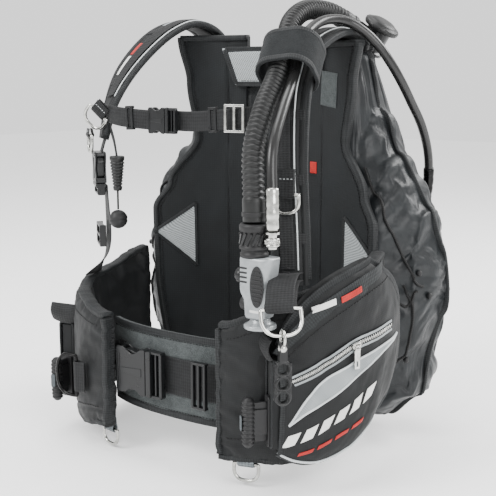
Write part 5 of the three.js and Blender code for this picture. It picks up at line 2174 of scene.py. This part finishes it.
@dataclass
class ShoulderStrap:
    """A padded strap through its stations, each with its middle and its half-width vector."""

    key: str
    stations: Points
    thickness: float = 11
    seam: float = 0.5
    table: Array = field(init=False)
    normals: Array = field(init=False)

    def __post_init__(self) -> None:
        """Works out the middle line, its half widths and its outward directions."""
        self.table = through(np.asarray(self.stations, float), 500)
        ahead = unit(np.gradient(self.table[:, :3], axis=0))
        self.normals = unit(np.cross(ahead, self.table[:, 3:]))

    def row(self, v: Array) -> Array:
        """The middle and the half-width vector at shares along the strap."""
        return read_at(v, np.linspace(0, 1, len(self.table)), self.table)

    def outward(self, v: Array) -> Array:
        """The outward direction at shares along the strap."""
        return read_at(v, np.linspace(0, 1, len(self.normals)), self.normals)

    def skin(self, u: Array, v: Array, lift: float = 0.0, side: float = 1.0) -> Array:
        """A point of the strap's outer or inner face, by shares across and along."""
        u, v = np.broadcast_arrays(np.asarray(u, float), np.asarray(v, float))
        row, normal = self.row(v), self.outward(v)
        deep = self.thickness / 2 * fullness(u, self.seam)
        deep = deep - 1.5 * np.exp(-((np.minimum(u, 1 - u) - 0.17) ** 2) / 0.0012)
        across = row[..., 3:] * (2 * u - 1)[..., None]
        return row[..., :3] + across + normal * (side * deep + side * lift)[..., None]

    def build(self) -> None:
        """Makes the padded strap, its edge tapes and its two rows of stitches."""

        def place(u: Array, v: Array, front: int) -> Array:
            side = 1.0 if front else -1.0
            return crumple(self.skin(u, v, 0, side), self.outward(v), 42, 0.55, 31 + front)

        worn(
            pillow(f"strap_{self.key}", place, 44, 240), SHELL,
            replaces=[f"shoulder_strap_{self.key}"],
        )
        rise = np.linspace(0.02, 0.985, 40)
        for label, share in (("inner", 0.0), ("outer", 1.0)):
            row, sign = self.row(rise), 2 * share - 1
            edge = through(row[:, :3] + row[:, 3:] * sign * 0.97, 200)
            out = read_at(np.linspace(0, 1, 200), np.linspace(0, 1, 40), row[:, 3:]) * sign
            thick = self.thickness * self.seam + 1.8
            worn(binding(f"strap_{self.key}_edge_{label}", edge, unit(out), 7, thick), BINDING)
            line = np.column_stack([np.full(40, 0.83 if share else 0.17), rise])
            worn(stitched_on(f"strap_{self.key}_stitch_{label}", line, self.skin, 400, -0.1), CORD)


RIGHT_STRAP = [
    [
        -118, -49, 266, 21, 0, 0
    ], [-121, -51, 282, 22, 0, 0], [-127, -72, 298, 22, 0, 0], [-138, -97, 302, 22, 2, 0],
    [-153, -130, 287, 21, 2, 0], [-167, -182, 240, 20, -3, 0], [-166, -220, 192, 16, -8, 0],
    [-165, -238, 144, 14, -11, 0],
]
LEFT_STRAP = [
    [
        118, -49, 262.5, 21, 0, 0
    ], [118, -52, 272, 23, 0, 0], [114, -72, 283, 24, 0, 0], [112, -108, 282, 24, 0, 0],
    [
        111, -168, 256, 24, 5, 3
    ], [119, -192, 233, 24, 5, 3], [127, -216, 206, 24, 4, 1], [140, -240, 128, 20, 8, 0],
    [158, -260, 40, 18, 10, 0], [166, -270, -14, 17, 12, 0],
]


@dataclass
class Straps:
    """Both shoulder straps with their trims, the right strap's buckle and the sternum strap."""

    def trims(self, right: ShoulderStrap, left: ShoulderStrap) -> None:
        """Labels, a pale reflective patch, keepers, webbing and piping on the straps."""

        def block(
            name: str, strap: ShoulderStrap, low: Sequence[float], high: Sequence[float],
            finish: Finish,
        ) -> None:
            corners = oblong(low[0], high[0], low[1], high[1])
            worn(patch(name, corners, strap.skin, 0.9, 0.1, 14), finish)

        block("strap_label_red", right, (0.26, 0.47), (0.5, 0.55), RED)
        block("strap_label_white", right, (0.26, 0.56), (0.5, 0.68), WHITE)
        block("strap_patch_pale", right, (0.24, 0.2), (0.78, 0.32), GREY)
        for index, (start, stop) in enumerate(((0.36, 0.4), (0.7, 0.74), (0.84, 0.88))):
            block(f"strap_keeper_right_{index}", right, (0.02, start), (0.98, stop), STRAPPING)
        for index, (start, stop) in enumerate(
            ((0.3, 0.33), (0.52, 0.55), (0.7, 0.73), (0.86, 0.89))
        ):
            block(f"strap_keeper_left_{index}", left, (0.02, start), (0.98, stop), STRAPPING)
        for strap, across, end in ((right, 0.62, 0.8), (left, 0.4, 0.96)):
            line = np.column_stack([np.full(30, across), np.linspace(0.08, end, 30)])
            worn(
                tape_on(f"strap_{strap.key}_webbing", line, strap.skin, 17, 1.6, 300, 0.0),
                STRAPPING,
            )
            line = np.column_stack([np.full(30, across + 0.3), np.linspace(0.08, end, 30)])
            worn(cord_on(f"strap_{strap.key}_piping", line, strap.skin, 1.0, 300), PALE)

    def shoulder_buckle(self) -> None:
        """The buckle under the right strap, its slider and the webbing to the hem."""
        inward = np.array([0.64, 0.77])
        place = Place((-171, -242, 85), (0, 0, 1), (-0.77, 0.64, 0))
        SideRelease("shoulder", place, 42, 46, 15, 17, "shoulder_buckle").build()
        behind = 15 / 2 + 0.9 + 0.4
        start = np.array([-171 + inward[0] * behind, -242 + inward[1] * behind, 81.0])
        half = np.array([inward[1] * 19, -inward[0] * 19, 0])
        top = eased([[70, -26], [99, -52], [128, -64], [159, -78]], 106.0) + 3
        end = WAIST_OVAL.at(106.0, top, 8 - 16, -1)
        stations = np.array([[*start, *half], [*(start - [0, 0, 90]), *half], [*end, 3, -19, 0]])
        row = through(stations, 120)
        strap = ribbon("shoulder_webbing", row[:, :3], row[:, 3:], 1.8, strap_profile(points=15))
        worn(strap, STRAPPING, replaces=["shoulder_webbing_right"])
        link = through(
            [[-162, -233, 164], [-165, -234, 148], [-168, -237, 134], [-170, -240, 121]], 40
        )
        worn(ribbon("shoulder_link", link, np.tile(half * 0.8, (40, 1)), 1.8), STRAPPING)
        tether = through(
            [[-160, -232, 172], [-146, -244, 160], [-128, -256, 142], [-118, -262, 122]], 50
        )
        worn(ribbon("dump_tether", tether, np.tile([1.6, -1.2, 4.6], (50, 1)), 1.6), STRAPPING)
        slider = place.moved(-73, 0, 7 - 7.5)
        worn(
            ladder("shoulder_ladder", slider, 30, 44, 9), GLOSS_PLASTIC,
            replaces=["shoulder_slider"],
        )

    def sternum(self) -> None:
        """Webbing from strap to strap through the buckle, with sliders and a tri-glide."""
        SideRelease(
            "sternum", Place((-25, -268, 173), (-1, 0, 0), (0, 0, -1)), 27, 33, 11, 16
        ).build()
        half = [0, 0, 12.5]
        routes = {
            "right": [
                [-38.5, -261.2, 173], [-60, -261.2, 173], [-110, -262, 176], [-141, -251, 179]
            ],
            "left": [[-22, -261.2, 173], [17, -261.2, 173], [88, -258, 179], [110, -243, 182]],
        }
        for key, route in routes.items():
            path = through(route, 120)
            strap = ribbon(
                f"sternum_strap_{key}", path, np.tile(half, (120, 1)), 1.8, strap_profile(points=15)
            )
            worn(strap, STRAPPING, replaces=[f"sternum_webbing_{key}"])
        for name, x, y in (
            ("sternum_keeper_right", -92, -262.6), ("sternum_keeper_left", 44, -260.8)
        ):
            worn(
                ladder(
                    name, Place((x, y, 175 if x < 0 else 175.5), (1, 0, 0.05), (0, 0, 1)), 12, 31,
                    6, 2,
                ),
                GLOSS_PLASTIC,
            )
        glide = Place((78, -264, 178), (1, 0.3, 0), (0, 0, 1))
        worn(ladder("sternum_glide", glide, 26, 34, 3.0), STEEL, replaces=["sternum_triglide"])

    def build(self) -> None:
        """Makes both straps and what they carry."""
        right, left = ShoulderStrap("right", RIGHT_STRAP), ShoulderStrap("left", LEFT_STRAP)
        right.build()
        left.build()
        self.trims(right, left)
        self.shoulder_buckle()
        self.sternum()


# ----------------------------------------------------------------------------------------------
# Cummerbund, lobes and weight pockets
# ----------------------------------------------------------------------------------------------


def front_arc(degrees: Array, height: Array, out: Array | float) -> Array:
    """Points in front of the waist: past 180 degrees the oval goes on along the right side."""
    degrees = np.asarray(degrees, float)
    side = np.where(degrees > 180, -1.0, 1.0)
    spot = WAIST_OVAL.at(np.where(degrees > 180, 360 - degrees, degrees), height, out)
    return spot * np.stack([side, np.ones_like(side), np.ones_like(side)], axis=-1)


@dataclass
class Waist:
    """The grey loop-faced cummerbund and the black belt that closes over it."""

    bottom: float = -206
    top: float = -94
    end: float = 142
    belt_height: float = 50
    belt_z: float = -150

    def band_face(self, degrees: Array, height: Array, lift: float = 0.0) -> Array:
        """The cummerbund's outer face, a little crowned between its bound edges."""
        share = (height - self.bottom) / (self.top - self.bottom)
        out = -46 + 7 * fullness(np.clip(share, 0, 1), 0.55)
        return front_arc(degrees, height, out + lift)

    def cummerbund(self) -> None:
        """Makes the cummerbund, its edge tapes and its stitching."""
        first, last = self.end, 360 - self.end

        def place(u: Array, v: Array, front: int) -> Array:
            degrees, height = first + (last - first) * u, self.bottom + (self.top - self.bottom) * v
            if front:
                body = self.band_face(degrees, height)
                return crumple(body, np.array([0, -1.0, 0]), 60, 0.7, 51)
            return front_arc(degrees, height, -46)

        worn(pillow("waist_band", place, 150, 50), LOOP_TAPE, replaces=["cummerbund"])
        for label, height, inset in (("upper", self.top, -3.4), ("lower", self.bottom, 3.4)):
            line = np.column_stack(
                [np.linspace(first + 0.6, last - 0.6, 60), np.full(60, height + inset)]
            )
            worn(tape_on(f"waist_edge_{label}", line, self.band_face, 9, 2.0, 160, -0.6), BINDING)
            line[:, 1] += inset * 1.6
            worn(stitched_on(f"waist_stitch_{label}", line, self.band_face, 240, 0.3), CORD)

    def belt(self) -> None:
        """Makes both halves of the belt, the buckle, its slider and the keepers."""
        out = -37.7
        spans = {"left": (self.end + 2, 184.0), "right": (186.0, 358 - self.end)}
        for key, (first, last) in spans.items():
            path = front_arc(np.linspace(first, last, 120), np.full(120, self.belt_z), out)
            half = np.tile([0, 0, self.belt_height / 2], (120, 1))
            strap = ribbon(f"waist_strap_{key}", path, half, 1.8, strap_profile(points=17))
            worn(strap, STRAPPING, replaces=[f"waist_belt_{key}"])
        place = Place((-34, -301.1, self.belt_z), (-1, 0, 0), (0, 0, -1))
        SideRelease("waist", place, 50, 62, 15, 26).build()
        worn(
            ladder("waist_ladder", place.moved(-26 - 62, 0, 3.5), 22, 60, 8), GLOSS_PLASTIC,
            replaces=["waist_slider"],
        )
        for index, degrees in enumerate((150.0, 209.0)):
            line = [[degrees - 2.2, self.belt_z - 31], [degrees - 2.2, self.belt_z + 31]]
            path = through([[d, z, 0.0] for d, z in line], 40)
            loop = front_arc(
                path[:, 0], path[:, 1],
                out + 2.4 - 2.2 * np.abs(path[:, 1] - self.belt_z) ** 4 / 31**4,
            )
            side = unit(
                front_arc(path[:, 0] + 1, path[:, 1], out) - front_arc(path[:, 0], path[:, 1], out)
            )
            worn(ribbon(f"waist_keeper_{index}", loop, side * 8, 1.6), STRAPPING)

    def build(self) -> None:
        """Makes the cummerbund and the belt."""
        self.cummerbund()
        self.belt()


LOBE_TOP = {
    "left": [[70, 6], [99, -5], [128, -26], [159, -64]],
    "right": [[70, -26], [99, -52], [128, -64], [159, -78]],
}
LOBE_BOTTOM = {
    "left": [[70, -196], [99, -196], [132, -232], [159, -232]],
    "right": [[70, -200], [99, -226], [128, -248], [159, -230]],
}
MOUTHS = {
    "left": ((159, -304, -150), 39.6),
    "right": ((-201, -284, -164), 10.0),
}


def mouth_place(key: str, side: int) -> Place:
    """A weight pocket's mouth: X across it, Y up, and Z out of the pocket towards the front."""
    origin, lean = MOUTHS[key]
    angle = math.radians(lean)
    return Place(origin, (math.cos(angle), -side * math.sin(angle), 0), (0, 0, 1))


def sleeve_room(key: str, side: int) -> Mesh:
    """The block of space that a weight pocket's sleeve takes, as a cutting tool."""
    outline = oblong(-12.4, 12.4, -54.4, 54.4)
    room = slab("room", outline, 150.4, mouth_place(key, side), 0.0, -90.4)
    room.modifiers.clear()
    return room


@dataclass
class Lobe:
    """One of the two soft lobes that wrap round the waist and hold the weight pockets."""

    key: str
    side: int
    rear: float = 70
    front: float = 159
    thickness: float = 32
    slack_room: float = 2.0
    tree: BVHTree | None = None

    def middle(self) -> float:
        """How far outside the oval the lobe's middle stands."""
        return (8 if self.side < 0 else 0) - self.thickness / 2

    def heights(self, degrees: Array) -> tuple[Array, Array]:
        """The lower and upper edges at an angle round the oval."""
        return eased(LOBE_BOTTOM[self.key], degrees), eased(LOBE_TOP[self.key], degrees)

    def skin(self, u: Array, v: Array, lift: float = 0.0, face: float = 1.0) -> Array:
        """The outer (or, for face -1, the inner) face by shares round and up."""
        degrees = self.rear + (self.front - self.rear) * u
        low, high = self.heights(degrees)
        half = self.thickness / 2 * fullness(v, 0.5) * fullness(u, 0.6)
        height, middle = low + (high - low) * v, self.middle()
        skin = WAIST_OVAL.at(degrees, height, middle + face * (half + lift), self.side)
        if self.tree is None:
            return skin
        base = WAIST_OVAL.at(degrees, height, middle + face * half, self.side)
        return grounded(self.tree, base) + skin - base

    def outward(self, u: Array, v: Array) -> Array:
        """The outward direction at a share round and up."""
        return unit(self.skin(u, v, 1.0) - self.skin(u, v, 0.0))

    def build(self) -> None:
        """Makes the lobe, cut for its sleeve, with edge tapes, seams and stitches."""

        def place(u: Array, v: Array, front: int) -> Array:
            face = 1.0 if front else -1.0
            body = self.skin(u, v, -self.slack_room, face)
            seams = 1.5 * np.exp(-((v - 0.14) ** 2) / 0.00025)
            seams += 1.3 * np.exp(-((u - 0.52) ** 2) / 0.00006)
            outward = self.outward(u, v)
            soft = crumple(body, outward, 74, 1.9, 61 + 7 * self.side + front)
            soft = crumple(soft, outward, 27, 0.7, 63 + front)
            return soft - outward * (face * seams)[..., None]

        shell = settled(
            pillow(f"lobe_{self.key}_shell", place, 104, 60), 104, 60, self.slack_room, 3.0, 0.03
        )
        self.tree = surface_tree(shell)
        lobe = carve(shell, sleeve_room(self.key, self.side))
        worn(lobe, SHELL, replaces=[f"lobe_{self.key}"])
        self.trim()

    def trim(self) -> None:
        """Grosgrain round the top and front edges, a hem tape and stitched seams."""
        across = np.linspace(0.02, 1, 70)
        top = np.column_stack([across, np.full(70, 0.995)])
        front = np.column_stack([np.full(40, 0.995), np.linspace(0.97, 0.03, 40)])
        hem = np.column_stack([across[::-1], np.full(70, 0.005)])
        for label, line, up in (
            ("top", top, [0, 0, 1.0]), ("front", front, None), ("hem", hem, [0, 0, -1.0])
        ):
            outer, inner = self.skin(line[:, 0], line[:, 1]), self.skin(
                line[:, 0], line[:, 1], face=-1.0
            )
            edge = (outer + inner) / 2
            thick = float(np.linalg.norm(outer - inner, axis=1).mean())
            if up is None:
                near = self.skin(np.full(40, 0.97), line[:, 1])
                out = unit(self.skin(np.full(40, 1.0), line[:, 1]) - near)
            else:
                out = np.tile(up, (len(line), 1))
            worn(binding(f"lobe_{self.key}_{label}_tape", edge, out, 8, thick + 1.4), BINDING)
        line = np.column_stack([across[2:-2], np.full(66, 0.165)])
        worn(stitched_on(f"lobe_{self.key}_hem_stitch", line, self.skin, 260, 0.2), CORD)
        line = np.column_stack([across[2:-2], np.full(66, 0.9)])
        worn(stitched_on(f"lobe_{self.key}_top_stitch", line, self.skin, 260, 0.1), CORD)


@dataclass
class WeightPocket:
    """A sewn sleeve in a lobe and the weight pouch that slides out of it by its ribbed handle."""

    key: str
    side: int
    width: float = 24
    height: float = 108
    length: float = 90

    def sleeve(self) -> None:
        """Makes the sleeve, the tape round its mouth and the flap over it."""
        place = mouth_place(self.key, self.side)
        worn(
            refined(f"sleeve_{self.key}_wall", f"weight_sleeve_{self.key}", 0.8, 3), LINING,
            replaces=[f"weight_sleeve_{self.key}"],
        )
        rim = rounded_outline(self.width - 2, self.height - 2, 4, 6)
        loop = place.put(np.column_stack([rim, np.full(len(rim), 0.4)]))
        worn(tube(f"sleeve_{self.key}_rim", loop, 1.7, 10, loop=True), BINDING)

        def flap(u: Array, v: Array, front: int) -> Array:
            x = (2 * u - 1) * (self.width / 2 + 9)
            y = self.height / 2 - 1 + 28 * v
            z = 1.6 + 5.5 * np.sin(v * math.pi * 0.9) + front * 2.4 * fullness(u, 0.5)
            y = y + 4 * (2 * u - 1) ** 2 * (1 - v)
            return place.put(np.stack(np.broadcast_arrays(x, y, z), axis=-1))

        worn(pillow(f"sleeve_{self.key}_flap", flap, 30, 30), STRAPPING)

    def pouch(self) -> None:
        """Makes the pouch and its handle: a foot, a stem and a ribbed bar."""
        body = f"weight_pouch_{self.key}"
        place = mouth_place(self.key, self.side)
        worn(refined(f"pouch_{self.key}_bag", body, 2.4, 3), LINING, body, [body])
        stem = oblong(-4.5, 4.5, -38, -6)
        foot = rounded_outline(17, 62, 4, 5) + [0, -22]
        share = np.linspace(0, 1, 128)
        ribs = 1.25 * (0.5 + 0.5 * np.cos(share * 12 * 2 * math.pi)) ** 0.6
        ends = np.sqrt(np.clip(1 - (2 * share - 1) ** 10, 0, 1))
        radius = (6.9 + ribs) * np.clip(ends, 0.25, 1)
        outline = np.column_stack([radius, -22 - 31 + 62 * share])
        bar_place = place.put([0, 0, 26])
        pieces = [
            slab("stem", stem, 24, place, 1.6, 1.2),
            slab("foot", foot, 3.4, place, 1.2, 0.6),
            lathe("bar", outline, bar_place, (0, 0, 1), 28),
            slab("gusset", oblong(-2, 2, -46, 2), 17, place, 0.7, 3.5),
        ]
        worn(
            joined(f"pouch_{self.key}_handle", pieces), MATT_PLASTIC, body,
            [f"weight_handle_{self.key}"],
        )
        tag = place.moved(0, -22, 26 + 8.6)
        worn(
            slab(f"pouch_{self.key}_tag", rounded_outline(7, 18, 2, 4), 1.0, tag, 0.3), GREY_WEB,
            body,
        )

    def build(self) -> None:
        """Makes the sleeve and the pouch."""
        self.sleeve()
        self.pouch()


# ----------------------------------------------------------------------------------------------
# Cargo pocket
# ----------------------------------------------------------------------------------------------

POCKET_CORNERS = [[137, -216], [94, -184], [137, -78], [97, 15]]
POCKET_MIDDLES = [[117, -224], [124, -16], [136, -150], [78, -72]]


@dataclass
class CargoPocket:
    """The bulging left pocket, with a slanted zip, a silver panel, white piping and plain marks."""

    depth: float = 27
    stand_off: float = 1.4
    tree: BVHTree | None = None

    def outline(self, u: Array, v: Array) -> Array:
        """Degrees round and height by an eight-point patch: four corners and four edge middles."""
        s, t = 2 * u - 1, 2 * v - 1
        corners = [(i, j) for j in (-1, 1) for i in (-1, 1)]
        weights = [0.25 * (1 + i * s) * (1 + j * t) * (i * s + j * t - 1) for i, j in corners]
        weights += [0.5 * (1 - s * s) * (1 - t), 0.5 * (1 - s * s) * (1 + t)]
        weights += [0.5 * (1 - s) * (1 - t * t), 0.5 * (1 + s) * (1 - t * t)]
        table = np.array(POCKET_CORNERS + POCKET_MIDDLES, float)
        return (np.stack(weights, axis=-1)[..., None] * table).sum(-2)

    def shares(self, degrees: Array, height: Array) -> tuple[Array, Array]:
        """The shares whose outline point is the one given, by eight steps of Newton's method."""
        wanted = np.stack(
            np.broadcast_arrays(np.asarray(degrees, float), np.asarray(height, float)), axis=-1
        )
        u, v, step = np.full(wanted.shape[:-1], 0.5), np.full(wanted.shape[:-1], 0.5), 1e-4
        for _ in range(8):
            here = self.outline(u, v)
            across = (self.outline(u + step, v) - here) / step
            along = (self.outline(u, v + step) - here) / step
            miss = wanted - here
            area = across[..., 0] * along[..., 1] - across[..., 1] * along[..., 0]
            u = np.clip(
                u + (miss[..., 0] * along[..., 1] - miss[..., 1] * along[..., 0]) / area, 0, 1
            )
            v = np.clip(
                v + (across[..., 0] * miss[..., 1] - across[..., 1] * miss[..., 0]) / area, 0, 1
            )
        return u, v

    def skin(self, u: Array, v: Array, lift: float = 0.0) -> Array:
        """The pocket's outer face by its own shares."""
        spot = self.outline(u, v)
        out = self.stand_off + self.depth * fullness(v, 0.35) * fullness(u, 0.35)
        if self.tree is None:
            return WAIST_OVAL.at(spot[..., 0], spot[..., 1], out + lift)
        base, above = (WAIST_OVAL.at(spot[..., 0], spot[..., 1], out + extra) for extra in (0, 1))
        return grounded(self.tree, base) + (above - base) * np.asarray(lift, float)[..., None]

    def face(self, degrees: Array, height: Array, lift: float = 0.0) -> Array:
        """The pocket's outer face by degrees round the oval and height."""
        return self.skin(*self.shares(degrees, height), lift)

    def shell(self) -> None:
        """Makes the pocket's body, cut for the weight sleeve, and the tapes round its edges."""

        def place(u: Array, v: Array, front: int) -> Array:
            spot = self.outline(u, v)
            if not front:
                return WAIST_OVAL.at(spot[..., 0], spot[..., 1], self.stand_off)
            body = self.skin(u, v, -0.9)
            normal = grid_normals(body, np.array([0.6, -0.8, 0]))
            return crumple(crumple(body, normal, 66, 1.3, 71), normal, 27, 0.5, 73)

        shell = pillow("pocket_shell", place, 130, 110)
        self.tree = surface_tree(shell)
        pocket = carve(shell, sleeve_room("left", 1))
        worn(pocket, SHELL, replaces=["cargo_pocket"])
        share = np.linspace(0, 1, 60)
        edges = {
            "top": np.column_stack([share, np.full(60, 0.985)]),
            "front": np.column_stack([np.full(60, 0.015), share]),
            "rear": np.column_stack([np.full(60, 0.985), share]),
        }
        for label, line in edges.items():
            worn(
                tape_on(
                    f"pocket_{label}_tape", line, self.skin, 11 if label == "top" else 8, 2.0, 160,
                    0.2,
                ),
                BINDING,
            )
        low = np.column_stack([share, np.full(60, 0.03)])
        worn(cord_on("pocket_low_piping", low, self.skin, 1.5, 200), PALE)
        band = np.column_stack([share, np.full(60, 0.9)])
        worn(tape_on("pocket_top_band", band, self.skin, 22, 1.2, 160, 0.1), DARK_BAND)
        worn(
            stitched_on(
                "pocket_band_stitch", np.column_stack([share, np.full(60, 0.845)]), self.skin, 240,
                0.3,
            ),
            CORD,
        )

    def zip(self) -> None:
        """A slanted zip: two tapes, a row of interlocked teeth, the slider and its swinging tab."""
        route = [[132.7, -119], [122, -101], [108.9, -80], [99, -74], [90.4, -69]]
        worn(tape_on("zip_tape", route, self.face, 15, 1.4, 160, 0.2), BINDING)
        spots = through(np.column_stack([route, np.zeros(5)]), 240)
        path = self.face(spots[:, 0], spots[:, 1], 1.4)
        above = self.face(spots[:, 0], spots[:, 1], 2.4)
        ahead = unit(np.gradient(path, axis=0))
        out = unit(above - path)
        side = np.cross(out, ahead)
        keep = np.arange(0, 240, 2)
        swap = np.where(np.arange(len(keep)) % 2, 0.7, -0.7)[:, None]
        centre = path[keep] + side[keep] * swap
        worn(blocks("zip_teeth", centre, side[keep] * 3.6, ahead[keep] * 0.9, 1.6), STEEL)
        for label, sign in (("upper", 1), ("lower", -1)):
            lip = ribbon(f"zip_lip_{label}", path + side * sign * 5.4 - out * 0.4, side * 1.6, 1.5)
            worn(lip, GREY)
        at = self.face(np.array([108.9]), np.array([-80.0]), 2.0)[0]
        turn = self.face(np.array([106.0]), np.array([-78.4]), 2.0)[0]
        slider_place = Place(
            tuple(at), tuple(turn - at), tuple(np.cross(self.out_at(108.9, -80), turn - at))
        )
        body = slab("body", rounded_outline(13, 8, 3, 5), 3.6, slider_place, 0.9)
        bail = tube(
            "bail",
            slider_place.put(
                np.array([[-4, 0, 3], [-3, 0, 5.4], [0, 0, 6.4], [3, 0, 5.4], [4, 0, 3]])
            ),
            0.9, 8,
        )
        worn(joined("zip_slider", [body, bail]), STEEL)
        tab = refined("zip_tab", "zip_pull", 0.5, 2)
        worn(tab, STEEL, "zip_pull", ["zip_pull"])

    def out_at(self, degrees: float, height: float) -> Array:
        """The outward direction at a point of the pocket."""
        spot = np.array([degrees]), np.array([height])
        return unit(self.face(*spot, 1.0) - self.face(*spot, 0.0))[0]

    def wedge(self) -> None:
        """A silver blade between two curves that meet at both tips, with piping along each."""
        curves = {
            "upper": [[133.6, -173], [127, -137], [120, -115], [104, -96], [86.2, -84]],
            "lower": [[133.6, -173], [128, -157], [120, -142], [104, -112], [86.2, -84]],
        }
        rows = {key: smooth_route(line, 80)[:, :2] for key, line in curves.items()}

        def place(u: Array, v: Array, front: int) -> Array:
            run = np.linspace(0, 1, 80)
            low, high = (read_at(u, run, rows[k]) for k in ("lower", "upper"))
            spot = low + (high - low) * (0.02 + 0.96 * v)[..., None]
            return self.face(spot[..., 0], spot[..., 1], 0.4 + front * 1.1 * fullness(v, 0.4))

        worn(pillow("pocket_wedge", place, 60, 16), GREY)
        for key, row in rows.items():
            path = self.face(row[:, 0], row[:, 1], 1.2)
            worn(tube(f"pocket_{key}_piping", path, 1.35, 10), PALE)

    def marks(self) -> None:
        """A row of plain slanted blocks, a red dashed line below it, and two small labels."""
        start, step = np.array([136.0, -203.0]), np.array([-6.3, 9.6])
        rise, lean = np.array([-2.2, 17.0]), np.array([-4.3, 6.6])
        for index in range(6):
            low = start + step * index
            corners = [low, low + lean, low + lean + rise, low + rise]
            worn(patch(f"pocket_block_{index}", corners, self.face, 0.9, 0.5, 14), WHITE)
        for index in range(4):
            low = np.array([130.5, -212.0]) + np.array([-7.0, 9.2]) * index
            corners = [low, low + [-5.4, 7.1], low + [-6.0, 12.2], low + [-0.6, 5.1]]
            worn(patch(f"pocket_dash_{index}", corners, self.face, 0.9, 0.5, 12), RED)
        labels = [("label_white", [[126, -38], [117, -29], [117, -22], [126, -31]], WHITE),
                  ("label_red", [[115, -28], [106, -18], [106, -11], [115, -21]], RED)]
        for name, corners, finish in labels:
            worn(patch(f"pocket_{name}", corners, self.face, 1.2, 3.8, 14), finish)

    def build(self) -> None:
        """Makes the pocket, its zip and its marks."""
        self.shell()
        self.zip()
        self.wedge()
        self.marks()


def main() -> None:
    """Builds the vest, one sub-assembly after another."""
    logging.basicConfig(level=logging.INFO, format="%(name)s: %(message)s")
    studio = Studio()
    studio.camera()
    assemblies = [
        Hoses(), DumpPull(), HoseBand(), Inflator(), ShoulderValve(), BackPad(),
        SidePanel("left", SIDES["left"], 272), SidePanel("right", SIDES["right"], 284),
        TankHold(), AirBladder(), Rings(), Straps(), Waist(),
        *(Lobe(key, side) for key, side in SIDES.items()),
        *(WeightPocket(key, side) for key, side in SIDES.items()),
        CargoPocket(),
    ]
    for assembly in assemblies:
        LOG.info("building the %s", type(assembly).__name__)
        assembly.build()
    studio.build()


if __name__ == "__main__":
    main()
